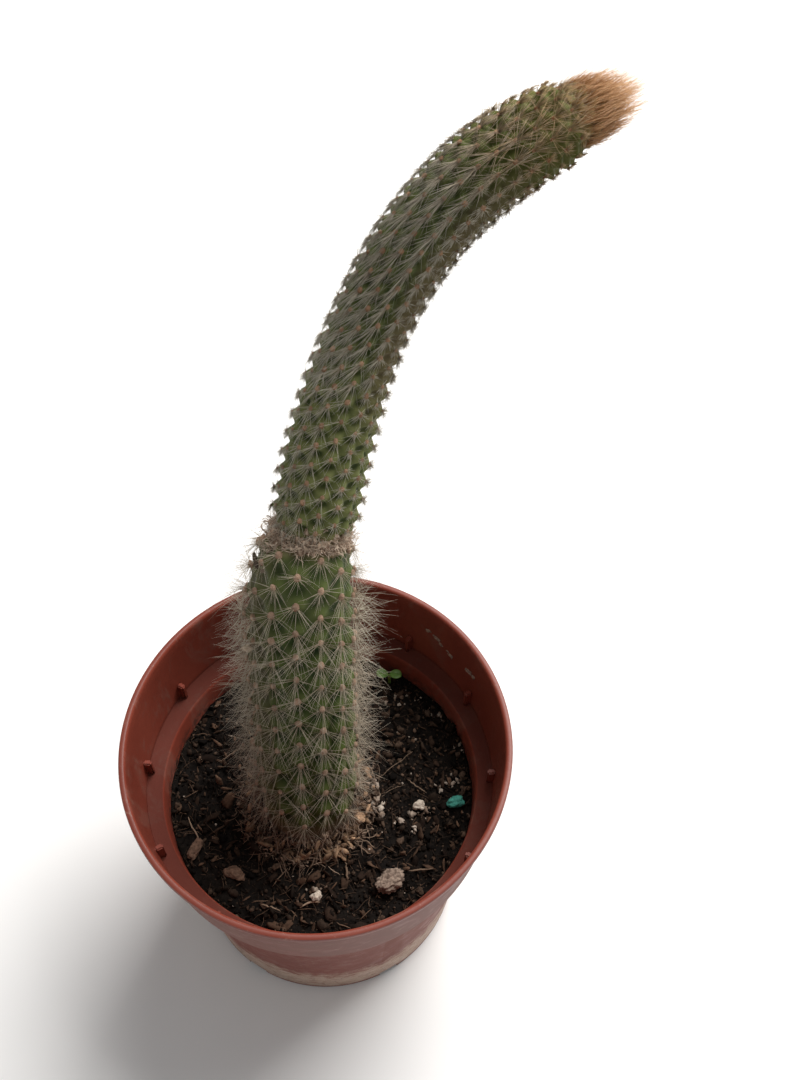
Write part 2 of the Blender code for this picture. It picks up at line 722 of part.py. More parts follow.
def settle(obj, ground):
    """Lowers obj until it is one gap above the ground's highest point under it."""
    graph = bpy.context.evaluated_depsgraph_get()
    below = BVHTree.FromObject(ground, graph)
    above = BVHTree.FromObject(obj, graph)
    drops = []
    for vert in obj.data.vertices:
        hit = below.ray_cast(vert.co, Vector((0, 0, -1)))
        if hit[0]:
            drops.append(hit[3])
    for vert in ground.data.vertices:
        hit = above.ray_cast(vert.co, Vector((0, 0, 1)))
        if hit[0]:
            drops.append(hit[3])
    obj.data.transform(Matrix.Translation((0, 0, GAP - min(drops))))


def make_loose_pieces(soil, parts):
    place, half_sizes, turn = PELLET
    pellet = lump("fertiliser_pellet", place, half_sizes, turn, 0.35, parts)
    add_material(pellet, (0.05, 0.30, 0.26), 0.6)
    settle(pellet, soil)
    place, half_sizes, turn = CLOD
    clod = lump("clod", place, half_sizes, turn, 0.5, parts)
    add_material(clod, (0.30, 0.20, 0.13), 0.9)
    settle(clod, soil)
    for name, place, half_sizes, turn in CHIPS:
        chip = lump(name, place, half_sizes, turn, 0.3, parts)
        add_material(chip, (0.22, 0.12, 0.07), 0.9)
        settle(chip, soil)
    for name, place, half_sizes, turn in PERLITE:
        grain = lump(name, place, half_sizes, turn, 0.5, parts)
        add_material(grain, (0.62, 0.58, 0.50), 0.9)
        settle(grain, soil)


def make_seedling(parts):
    """Two seed leaves on a stalk that stands in a plain hole in the mix."""
    foot = SOIL_TOP - SEEDLING_HOLE_DEPTH
    height = SEEDLING_HEIGHT + SEEDLING_HOLE_DEPTH
    bm = bmesh.new()
    bmesh.ops.create_cone(
        bm, cap_ends=True, segments=6, radius1=STALK_RADIUS, radius2=STALK_RADIUS, depth=height
    )
    middle = Vector((SEEDLING.x, SEEDLING.y, foot + height / 2))
    bmesh.ops.translate(bm, verts=bm.verts, vec=middle)
    seedling = add_object("seedling", mesh_from(bm, "seedling"), parts)
    leaves = new_collection("seed leaves")
    for side, tilt in ((-1, 12), (1, 4)):
        bm = bmesh.new()
        bmesh.ops.create_uvsphere(bm, u_segments=10, v_segments=6, radius=1)
        bmesh.ops.scale(bm, verts=bm.verts, vec=SEED_LEAF)
        leaf = add_object("seed_leaf", mesh_from(bm, "seed_leaf"), leaves)
        reach = Vector((side * 0.85 * SEED_LEAF.x, 0, 0))
        lift = Vector((SEEDLING.x, SEEDLING.y, SOIL_TOP + SEEDLING_HEIGHT))
        turn = Matrix.Rotation(math.radians(-side * tilt), 4, "Y")
        leaf.matrix_world = Matrix.Translation(lift) @ turn @ Matrix.Translation(reach)
    join_repeats(seedling, leaves)
    keep_largest(seedling)
    add_material(seedling, (0.16, 0.33, 0.06), 0.6)
    return seedling


def main():
    clear_scene()
    parts = new_collection("potted_monkey_tail_cactus")
    cutters = new_collection("cutters")
    needle = needle_mesh()
    old_path = Path(OLD_FOOT, OLD_FOOT_HANDLE, OLD_TOP_HANDLE, OLD_TOP)
    shoot_path = Path(JOINT, SHOOT_HANDLE_1, SHOOT_HANDLE_2, SHOOT_END)
    make_pot(parts, cutters)
    soil = make_soil(old_path, parts, cutters)
    make_old_stem(old_path, needle, parts)
    make_shoot(shoot_path, needle, parts)
    make_tip(shoot_path, needle, parts)
    make_joint_wool(needle, parts, cutters)
    make_foot_litter(old_path, needle, parts, cutters)
    bpy.context.view_layer.update()
    make_loose_pieces(soil, parts)
    make_seedling(parts)
    for obj in parts.objects:
        obj.data.shade_flat()


main()
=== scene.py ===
"""Looks of a potted monkey tail cactus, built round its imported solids.

Lengths are in metres. The frame is the part's own: the origin is at the centre of the pot's
underside, +Z is up, and the photograph was taken from the -Y side.
"""

import json
import math

import bmesh
import bpy
import numpy as np
from mathutils import Matrix, Vector, noise

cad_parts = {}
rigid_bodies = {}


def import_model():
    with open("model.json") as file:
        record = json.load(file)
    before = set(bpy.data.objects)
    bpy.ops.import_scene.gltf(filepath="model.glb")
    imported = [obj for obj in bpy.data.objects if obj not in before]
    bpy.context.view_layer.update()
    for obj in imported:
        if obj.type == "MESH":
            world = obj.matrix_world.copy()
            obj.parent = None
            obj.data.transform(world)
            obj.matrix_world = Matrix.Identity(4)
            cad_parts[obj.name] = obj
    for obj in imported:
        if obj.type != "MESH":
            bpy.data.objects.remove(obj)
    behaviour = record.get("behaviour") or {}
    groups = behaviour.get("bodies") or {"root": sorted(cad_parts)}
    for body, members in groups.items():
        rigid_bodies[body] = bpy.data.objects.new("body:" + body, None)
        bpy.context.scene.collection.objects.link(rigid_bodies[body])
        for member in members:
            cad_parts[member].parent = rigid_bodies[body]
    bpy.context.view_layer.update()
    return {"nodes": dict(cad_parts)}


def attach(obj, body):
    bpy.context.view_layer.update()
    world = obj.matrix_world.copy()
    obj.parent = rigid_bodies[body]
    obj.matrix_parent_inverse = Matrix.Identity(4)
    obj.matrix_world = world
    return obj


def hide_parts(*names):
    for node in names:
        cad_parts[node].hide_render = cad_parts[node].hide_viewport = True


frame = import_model()

MM = 0.001
TURN = 2 * math.pi
rng = np.random.default_rng(11)

# Pot, as in the part's source
POT_HEIGHT = 77.2 * MM
RIM_RADIUS = 42.5 * MM
LIP_WIDTH = 1.5 * MM
LIP_DEPTH = 1.6 * MM
COLLAR_DEPTH = 22.9 * MM
COLLAR_FOOT_RADIUS = 39.8 * MM
LEDGE_DEPTH = 19.4 * MM
LEDGE_OUTER_RADIUS = 39.4 * MM
LEDGE_INNER_RADIUS = 36.0 * MM
LEDGE_FALL = 1.2 * MM
BASE_RADIUS = 33.3 * MM
WALL = 0.95 * MM
FLOOR = 1.2 * MM
POT_STEPS = 160
RIB_COUNT = 12
RIB_SIZE = np.array((1.8, 1.2, 6.0)) * MM
DRAIN_COUNT = 6
DRAIN_RADIUS = 3.2 * MM
DRAIN_CIRCLE = 21.0 * MM
NOTCH_COUNT = 6
NOTCH_WIDTH = 5.0 * MM
NOTCH_HEIGHT = 2.6 * MM

# Potting mix, as in the part's source
SOIL_TOP = 49.4 * MM
SOIL_ROUGHNESS = 1.1 * MM
SOIL_LUMP = 9.0 * MM
SOIL_CALM_RADIUS = 19.0 * MM
SOIL_CALM_BLEND = 8.0 * MM
SOIL_EDGE = 35.3 * MM

# Places and radii, in millimetres, that stay clear of crumbs: the stem and the loose pieces
CLEARINGS = (
    (-3.0, -3.4, 10.5), (31.4, -3.0, 2.0), (16.6, -22.0, 2.6), (-28.0, -15.5, 1.9), (-18.5, -20.8, 1.9),
    (22.8, -4.0, 1.1), (0.3, -25.6, 1.0),
)

# Stems, as in the part's source
OLD_FOOT = np.array((-3.0, -5.8, 37.0)) * MM
OLD_FOOT_HANDLE = np.array((-2.5, 1.4, 66.1)) * MM
JOINT = np.array((0.2, 19.6, 127.2)) * MM
JOINT_DIRECTION = np.array((0.14, 0.41, 0.90)) / np.linalg.norm((0.14, 0.41, 0.90))
SIDE_STEP = 1.8 * MM
ACROSS = np.array((JOINT_DIRECTION[2], 0, -JOINT_DIRECTION[0]))
ACROSS = ACROSS / np.linalg.norm(ACROSS)
OLD_TOP = JOINT - SIDE_STEP * ACROSS
OLD_TOP_HANDLE = OLD_TOP - 14.0 * MM * JOINT_DIRECTION
OLD_RIBS = 14
OLD_SPACING = 7.5 * MM
OLD_CLOSING = 0.09 * MM
OLD_FIRST_AREOLE = 19.0 * MM
OLD_ROWS = 13
OLD_FOOT_RADIUS = 10.6 * MM
OLD_TOP_RADIUS = 9.7 * MM
OLD_FLAT_RADIUS = 7.5 * MM
OLD_SHOULDER = 9.0 * MM
TOP_TILT = 1.3 * MM
WOOL_DROP = 2.8 * MM
OLD_COMB = np.array((-0.22, 0.0, -0.08))
SHOOT_COMB = np.array((-0.60, 0.0, -0.05))
FRONT = np.array((0.05, -0.62, 0.78))
SHOOT_HANDLE_1 = JOINT + 70.0 * MM * JOINT_DIRECTION
SHOOT_HANDLE_2 = np.array((35.4, 54.0, 191.0)) * MM
SHOOT_END = np.array((50.5, 61.3, 196.1)) * MM
SHOOT_RIBS = 16
SHOOT_SPACING = 3.9 * MM
SHOOT_CLOSING = 0.016 * MM
SHOOT_FIRST_AREOLE = 6.0 * MM
SHOOT_ROWS = 25
SHOOT_GIRTH = (
    (0, 7.1), (4, 7.2), (12, 7.3), (24, 6.9), (44, 5.9), (62, 6.0), (76, 6.3), (86, 6.1), (91, 5.7), (94, 4.9),
)
TIP_START = 93.0 * MM
TIP_SEAT = 0.8 * MM
TIP_LENGTH = 7.2 * MM

# Camera, fitted to the rim's ellipse, the ledge, the base and the mix's edge
CAMERA_PLACE = Vector((18.0, -107.1, 317.8)) * MM
CAMERA_PITCH = 56.4
CAMERA_ROLL = -1.49
CAMERA_LENS = 40.0


def unit(vectors):
    return vectors / np.linalg.norm(vectors, axis=-1, keepdims=True)


def smooth_step(low, high, values):
    share = np.clip((values - low) / (high - low), 0, 1)
    return share * share * (3 - 2 * share)


def noise_at(points, size, seed=0.0):
    """Smooth noise between about -1 and 1 at each point, with features of the given size."""
    shift = Vector((seed, 2.3 * seed, -1.7 * seed))
    return np.array([noise.noise(Vector(point) / size + shift) for point in points])


def rough_at(points, size, seed=0.0):
    """Noise with finer octaves on top."""
    shift = Vector((seed, 2.3 * seed, -1.7 * seed))
    return np.array([noise.fractal(Vector(point) / size + shift, 0.7, 2.1, 4) for point in points])


class Path:
    """A Bezier curve with a frame that doesn't twist, read by the distance along it."""

    def __init__(self, start, handle_1, handle_2, end, samples=400):
        t = np.linspace(0, 1, samples)[:, None]
        self.points = (
            (1 - t) ** 3 * start + 3 * (1 - t) ** 2 * t * handle_1
            + 3 * (1 - t) * t**2 * handle_2 + t**3 * end
        )
        steps = np.linalg.norm(np.diff(self.points, axis=0), axis=1)
        self.lengths = np.concatenate(([0], np.cumsum(steps)))
        self.length = self.lengths[-1]
        self.tangents = unit(np.gradient(self.points, axis=0))
        side = np.array((0.0, -1.0, 0.0))
        sides = []
        for tangent in self.tangents:
            side = unit(side - side @ tangent * tangent)
            sides.append(side)
        self.sides = np.array(sides)

    def frame(self, distance):
        """Points, tangents and the two directions across at each distance."""
        def read(rows):
            return np.stack([np.interp(distance, self.lengths, column) for column in rows.T], -1)

        tangent = unit(read(self.tangents))
        side = read(self.sides)
        side = unit(side - np.sum(side * tangent, -1, keepdims=True) * tangent)
        return read(self.points), tangent, side, np.cross(tangent, side)


def outward(frame, angle):
    return np.cos(angle)[:, None] * frame[2] + np.sin(angle)[:, None] * frame[3]


def add_piece(name, points, faces, materials, replaces, slot, smooth=True, **attributes):
    """Makes a mesh piece of arrays of triangles or quads and puts it on the frame's body."""
    mesh = bpy.data.meshes.new(name)
    sizes = np.concatenate([np.full(len(part), part.shape[1]) for part in faces])
    corners = np.concatenate([part.ravel() for part in faces]).astype(np.int32)
    mesh.vertices.add(len(points))
    mesh.vertices.foreach_set("co", np.asarray(points, np.float32).ravel())
    mesh.loops.add(len(corners))
    mesh.loops.foreach_set("vertex_index", corners)
    mesh.polygons.add(len(sizes))
    starts = np.concatenate(([0], np.cumsum(sizes)[:-1])).astype(np.int32)
    mesh.polygons.foreach_set("loop_start", starts)
    mesh.update(calc_edges=True)
    mesh.validate()
    for key, values in attributes.items():
        layer = mesh.attributes.new(key, "FLOAT", "POINT")
        layer.data.foreach_set("value", np.asarray(values, np.float32))
    if smooth:
        mesh.shade_smooth()
    for material in materials:
        mesh.materials.append(material)
    obj = bpy.data.objects.new(name, mesh)
    bpy.context.scene.collection.objects.link(obj)
    return dress(obj, replaces)


def dress(obj, replaces):
    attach(obj, "root")
    for node in replaces:
        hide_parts(node)
    return obj


def spikes(roots, directions, lengths, radii, bends, steps=2, sides=3, blunt=0.25):
    """Thin tapering spines. bends are sideways moves of the tips. Gives points, faces, along."""
    count = len(roots)
    across = unit(np.cross(directions, unit(rng.normal(size=(count, 3)))))
    other = np.cross(directions, across)
    corner = TURN * np.arange(sides) / sides
    rings = []
    for step in range(steps + 1):
        share = step / steps
        middle = roots + (share * lengths)[:, None] * directions + share**2 * bends
        size = radii * (1 - (1 - blunt) * share)
        ring = np.cos(corner)[None, :, None] * across[:, None] + np.sin(corner)[None, :, None] * other[:, None]
        rings.append(middle[:, None] + size[:, None, None] * ring)
    points = np.stack(rings, 1)
    per_spine = sides * (steps + 1)
    first = per_spine * np.arange(count)[:, None, None]
    step, side = np.meshgrid(np.arange(steps), np.arange(sides), indexing="ij")
    a = (sides * step + side).ravel()
    b = (sides * step + (side + 1) % sides).ravel()
    quads = np.stack((a, b, b + sides, a + sides), -1)[None] + first
    low = np.arange(sides)[::-1][None, None] + first
    high = (np.arange(sides) + sides * steps)[None, None] + first
    along = np.tile(np.repeat(np.arange(steps + 1) / steps, sides), count)
    faces = [quads.reshape(-1, 4), low.reshape(-1, sides), high.reshape(-1, sides)]
    return points.reshape(-1, 3), faces, along, per_spine


def tubes(lines, radii, sides=3):
    """A thin closed tube along each of many lines, an array of (line, step, 3)."""
    count, steps, _ = lines.shape
    tangents = unit(np.gradient(lines, axis=1))
    across = unit(np.cross(tangents, np.array((0.31, 0.52, 0.79))))
    other = np.cross(tangents, across)
    corner = TURN * np.arange(sides) / sides
    taper = 1 - 0.55 * np.abs(np.linspace(-1, 1, steps)) ** 3
    size = (radii[:, None] * taper[None])[:, :, None, None]
    ring = (
        np.cos(corner)[None, None, :, None] * across[:, :, None]
        + np.sin(corner)[None, None, :, None] * other[:, :, None]
    )
    points = lines[:, :, None] + size * ring
    first = (sides * steps * np.arange(count))[:, None, None]
    step, side = np.meshgrid(np.arange(steps - 1), np.arange(sides), indexing="ij")
    a = (sides * step + side).ravel()
    b = (sides * step + (side + 1) % sides).ravel()
    quads = np.stack((a, b, b + sides, a + sides), -1)[None] + first
    low = np.arange(sides)[::-1][None, None] + first
    high = (np.arange(sides) + sides * (steps - 1))[None, None] + first
    faces = [quads.reshape(-1, 4), low.reshape(-1, sides), high.reshape(-1, sides)]
    return points.reshape(-1, 3), faces, sides * steps


def wander(starts, directions, lengths, steps, curl, pull=(0, 0, 0)):
    """Lines that curl at random as they go, drawn a little towards pull."""
    step = (lengths / (steps - 1))[:, None]
    line = [starts]
    heading = unit(directions)
    for _ in range(steps - 1):
        line.append(line[-1] + step * heading)
        heading = unit(heading + curl * rng.normal(size=heading.shape) + np.array(pull))
    return np.stack(line, 1)


def ball(level):
    """Points and triangles of an icosphere of unit radius."""
    bm = bmesh.new()
    bmesh.ops.create_icosphere(bm, subdivisions=level, radius=1)
    points = np.array([vert.co[:] for vert in bm.verts])
    faces = np.array([[vert.index for vert in face.verts] for face in bm.faces])
    bm.free()
    return points, faces


def random_turns(count):
    """Random rotation matrices, from random quaternions."""
    w, x, y, z = unit(rng.normal(size=(count, 4))).T
    return np.stack([
        1 - 2 * (y * y + z * z), 2 * (x * y - w * z), 2 * (x * z + w * y),
        2 * (x * y + w * z), 1 - 2 * (x * x + z * z), 2 * (y * z - w * x),
        2 * (x * z - w * y), 2 * (y * z + w * x), 1 - 2 * (x * x + y * y),
    ], -1).reshape(-1, 3, 3)


def lumps(centres, sizes, level=2, roughness=0.35, kinds=12, turns=None):
    """Rough grains, each a dented ball of a few kinds, scaled by its three sizes and turned."""
    base, faces = ball(level)
    shapes = np.stack([
        base * (1 + roughness * noise_at(1.4 * base, 1.0, 3.1 * kind))[:, None]
        for kind in range(kinds)
    ])
    count = len(centres)
    chosen = shapes[rng.integers(kinds, size=count)] * sizes[:, None]
    turns = random_turns(count) if turns is None else turns
    points = np.einsum("nij,nkj->nki", turns, chosen) + centres[:, None]
    grid = faces[None] + (len(base) * np.arange(count))[:, None, None]
    return points.reshape(-1, 3), [grid.reshape(-1, 3)], len(base)


def per_point(values, repeat):
    return np.repeat(values, repeat)


class Shade:
    """A Principled material and its nodes. Each call adds a node and gives its output."""

    def __init__(self, name, roughness=0.6, **fixed):
        self.material = bpy.data.materials.new(name)
        self.material.use_nodes = True
        self.tree = self.material.node_tree
        self.shader = self.tree.nodes["Principled BSDF"]
        self.shader.inputs["Roughness"].default_value = roughness
        for key, value in fixed.items():
            self.shader.inputs[key.replace("_", " ")].default_value = value
        self.place = self.tree.nodes.new("ShaderNodeTexCoord").outputs["Object"]

    def put(self, socket, value):
        if isinstance(value, bpy.types.NodeSocket):
            self.tree.links.new(value, socket)
        elif isinstance(value, tuple):
            socket.default_value = (*value, 1) if len(value) == 3 else value
        else:
            socket.default_value = value

    def stretched(self, x, y, z):
        node = self.tree.nodes.new("ShaderNodeMapping")
        self.put(node.inputs["Vector"], self.place)
        node.inputs["Scale"].default_value = (x, y, z)
        return node.outputs["Vector"]

    def noise(self, size, detail=4.0, rough=0.6, place=None, distortion=0.0):
        """Noise whose features are about size metres across."""
        node = self.tree.nodes.new("ShaderNodeTexNoise")
        self.put(node.inputs["Vector"], place or self.place)
        node.inputs["Scale"].default_value = 1 / size
        node.inputs["Detail"].default_value = detail
        node.inputs["Roughness"].default_value = rough
        node.inputs["Distortion"].default_value = distortion
        return node.outputs["Fac"]

    def cells(self, size, feature="F1"):
        node = self.tree.nodes.new("ShaderNodeTexVoronoi")
        self.put(node.inputs["Vector"], self.place)
        node.feature = feature
        node.inputs["Scale"].default_value = 1 / size
        return node.outputs["Distance"]

    def attribute(self, name):
        node = self.tree.nodes.new("ShaderNodeAttribute")
        node.attribute_name = name
        return node.outputs["Fac"]

    def height(self):
        node = self.tree.nodes.new("ShaderNodeSeparateXYZ")
        self.put(node.inputs[0], self.place)
        return node.outputs["Z"]

    def math(self, operation, a, b=0.0):
        node = self.tree.nodes.new("ShaderNodeMath")
        node.operation = operation
        self.put(node.inputs[0], a)
        self.put(node.inputs[1], b)
        return node.outputs[0]

    def span(self, value, low, high, to_low=0.0, to_high=1.0):
        """Maps a range smoothly onto another and clamps it."""
        node = self.tree.nodes.new("ShaderNodeMapRange")
        node.interpolation_type = "SMOOTHSTEP"
        for key, number in zip((0, 1, 2, 3, 4), (value, low, high, to_low, to_high)):
            self.put(node.inputs[key], number)
        return node.outputs[0]

    def ramp(self, value, *stops):
        node = self.tree.nodes.new("ShaderNodeValToRGB")
        self.put(node.inputs["Fac"], value)
        elements = node.color_ramp.elements
        while len(elements) < len(stops):
            elements.new(0.5)
        for element, (position, colour) in zip(elements, stops):
            element.position = position
            element.color = (*colour, 1)
        return node.outputs["Color"]

    def mix(self, share, a, b, blend="MIX"):
        node = self.tree.nodes.new("ShaderNodeMix")
        node.data_type = "RGBA"
        node.blend_type = blend
        self.put(node.inputs[0], share)
        self.put(node.inputs[6], a)
        self.put(node.inputs[7], b)
        return node.outputs[2]

    def bump(self, height, distance, strength=1.0, under=None):
        node = self.tree.nodes.new("ShaderNodeBump")
        node.inputs["Strength"].default_value = strength
        node.inputs["Distance"].default_value = distance
        self.put(node.inputs["Height"], height)
        if under:
            self.put(node.inputs["Normal"], under)
        return node.outputs["Normal"]

    def finish(self, colour, roughness=None, normal=None):
        self.put(self.shader.inputs["Base Color"], colour)
        if roughness is not None:
            self.put(self.shader.inputs["Roughness"], roughness)
        if normal is not None:
            self.put(self.shader.inputs["Normal"], normal)
        return self.material


def pot_plastic(name, outer):
    """Satin terracotta-coloured plastic: dusty outside with a lime line, smeared inside. The outside, the ledge's step
    and, along with soil stains, the wall low down by the mix carry painted shade.
    """
    shade = Shade(name, 0.45, Specular_IOR_Level=0.35 if outer else 0.25)
    wide = shade.noise(14 * MM, 3)
    fine = shade.noise(0.9 * MM, 5, 0.7)
    # Painted shade: the outside is the same plastic made 20% darker than the inside.
    outside_shade = 0.80 if outer else 1.0
    colour = shade.ramp(wide, (0.3, (0.205 * outside_shade, 0.040 * outside_shade, 0.024 * outside_shade)), (0.7, (0.250 * outside_shade, 0.055 * outside_shade, 0.034 * outside_shade)))
    height = shade.height()
    if outer:
        below_lip = shade.span(height, POT_HEIGHT - 2.5 * MM, POT_HEIGHT - 1.9 * MM, 1, 0)
        patches = shade.span(shade.noise(5 * MM, 5, 0.65), 0.3, 0.66, 0.35, 1)
        dusty = shade.math("MULTIPLY", below_lip, patches)
        collar = shade.span(height, POT_HEIGHT - COLLAR_DEPTH - 0.5 * MM, POT_HEIGHT - COLLAR_DEPTH)
        colour = shade.mix(shade.math("MULTIPLY", dusty, 0.25), colour, (0.160, 0.088, 0.070))
        colour = shade.mix(shade.math("MULTIPLY", shade.math("MULTIPLY", dusty, collar), 0.5), colour, (0.185, 0.115, 0.098))
        scale = shade.noise(6 * MM, 9, 0.78, shade.stretched(1, 1, 1.7), 0.5)
        band = shade.span(height, 7 * MM, 26 * MM, 0.32, 0)
        streaks = shade.span(shade.noise(2.4 * MM, 7, 0.8, shade.stretched(1, 1, 2.4), 0.6), 0.36, 0.58, 0.42, 1)
        lime = shade.span(shade.math("ADD", scale, band), 0.56, 0.78, 0, 0.92)
        lime = shade.math("MULTIPLY", lime, streaks)
        foot = shade.span(height, 0.6 * MM, 2.6 * MM)
        lime = shade.math("MULTIPLY", lime, foot)
        colour = shade.mix(lime, colour, (0.48, 0.36, 0.28))
        specks = shade.span(shade.noise(2.2 * MM, 4, 0.6, shade.stretched(1, 1, 2.5)), 0.64, 0.67)
        colour = shade.mix(shade.math("MULTIPLY", specks, lime), colour, (0.07, 0.035, 0.025))
        rough = shade.span(dusty, 0, 1, 0.42, 0.72)
    else:
        smear = shade.span(shade.noise(9 * MM, 6, 0.72, shade.stretched(1, 1, 0.5), 1.0), 0.52, 0.60)
        dust = shade.math("MULTIPLY", smear, shade.span(fine, 0.35, 0.7, 0.12, 0.5))
        colour = shade.mix(dust, colour, (0.24, 0.13, 0.10))
        ledge = POT_HEIGHT - LEDGE_DEPTH
        above = shade.span(height, ledge - LEDGE_FALL - 0.3 * MM, ledge - LEDGE_FALL)
        # Painted shade: darker, and rougher, in the corner where the ledge steps into the wall.
        ledge_shade = shade.math("MULTIPLY", above, shade.span(height, ledge - 0.1 * MM, ledge + 1.6 * MM, 1, 0))
        colour = shade.mix(shade.math("MULTIPLY", ledge_shade, 0.75), colour, (0.075, 0.018, 0.012))
        # Darker in patches low on the wall by the mix: soil stains and painted shade.
        low = shade.span(height, SOIL_TOP, SOIL_TOP + 6 * MM, 1, 0)
        stain_and_shade_low = shade.math("MULTIPLY", low, shade.span(shade.noise(2.2 * MM, 5, 0.75), 0.42, 0.6, 0, 0.8))
        colour = shade.mix(stain_and_shade_low, colour, (0.035, 0.022, 0.017))
        rough = shade.math("MAXIMUM", shade.span(dust, 0, 0.4, 0.40, 0.62), shade.math("MULTIPLY", ledge_shade, 0.85))
    normal = shade.bump(fine, 0.06 * MM, 0.5)
    normal = shade.bump(wide, 0.5 * MM, 0.25, normal)
    return shade.finish(colour, rough, normal)


def pot_profile():
    """(radius, height, outer) down the inside from the top of the floor, then up outside."""
    ledge = POT_HEIGHT - LEDGE_DEPTH
    skirt = POT_HEIGHT - COLLAR_DEPTH
    lip_inner = RIM_RADIUS - LIP_WIDTH
    inner_foot = BASE_RADIUS - WALL
    half = 0.5 * MM
    underside = ledge - LEDGE_FALL - 1.1 * WALL
    return [
        (0, FLOOR, 0), (DRAIN_CIRCLE, FLOOR, 0), (inner_foot - WALL, FLOOR, 0),
        (inner_foot - 0.3 * WALL, FLOOR + 0.3 * WALL, 0), (inner_foot, FLOOR + WALL, 0),
        (LEDGE_INNER_RADIUS - 0.25 * MM, ledge - LEDGE_FALL - 0.9 * MM, 0),
        (LEDGE_INNER_RADIUS, ledge - LEDGE_FALL - 0.25 * MM, 0),
        (LEDGE_INNER_RADIUS + 0.25 * MM, ledge - LEDGE_FALL, 0),
        (LEDGE_INNER_RADIUS + 1.5 * MM, ledge - 0.75 * LEDGE_FALL, 0),
        (LEDGE_INNER_RADIUS + 1.8 * MM, ledge - 0.55 * LEDGE_FALL, 0),
        (LEDGE_OUTER_RADIUS - 0.3 * MM, ledge - 0.1 * LEDGE_FALL, 0), (LEDGE_OUTER_RADIUS, ledge + 0.2 * MM, 0),
        (LEDGE_OUTER_RADIUS + 0.15 * MM, ledge + 1.5 * MM, 0),
        (lip_inner - 0.35 * MM, POT_HEIGHT - 3.6 * MM, 0), (lip_inner - 0.1 * MM, POT_HEIGHT - 1.0 * MM, 0),
        (lip_inner + 0.06 * MM, POT_HEIGHT - 0.35 * MM, 0), (lip_inner + 0.3 * MM, POT_HEIGHT - 0.08 * MM, 0),
        (lip_inner + 0.5 * MM, POT_HEIGHT, 1), (RIM_RADIUS - 0.4 * MM, POT_HEIGHT, 1),
        (RIM_RADIUS - 0.12 * MM, POT_HEIGHT - 0.12 * MM, 1), (RIM_RADIUS, POT_HEIGHT - 0.4 * MM, 1),
        (RIM_RADIUS, POT_HEIGHT - LIP_DEPTH + 0.25 * MM, 1), (RIM_RADIUS - 0.15 * MM, POT_HEIGHT - LIP_DEPTH, 1),
        (RIM_RADIUS - half, POT_HEIGHT - LIP_DEPTH - 0.2 * MM, 1),
        (RIM_RADIUS - half - 0.05 * MM, POT_HEIGHT - LIP_DEPTH - half, 1),
        (COLLAR_FOOT_RADIUS, skirt + 0.3 * MM, 1), (COLLAR_FOOT_RADIUS - 0.1 * MM, skirt + 0.08 * MM, 1),
        (COLLAR_FOOT_RADIUS - 0.3 * MM, skirt, 1), (COLLAR_FOOT_RADIUS - 1.2 * WALL, skirt, 1),
        (LEDGE_INNER_RADIUS + WALL, underside, 1), (BASE_RADIUS, half, 1),
        (BASE_RADIUS - 0.15 * MM, 0.15 * MM, 1), (BASE_RADIUS - half, 0, 1), (DRAIN_CIRCLE, 0, 1), (0, 0, 1),
    ]


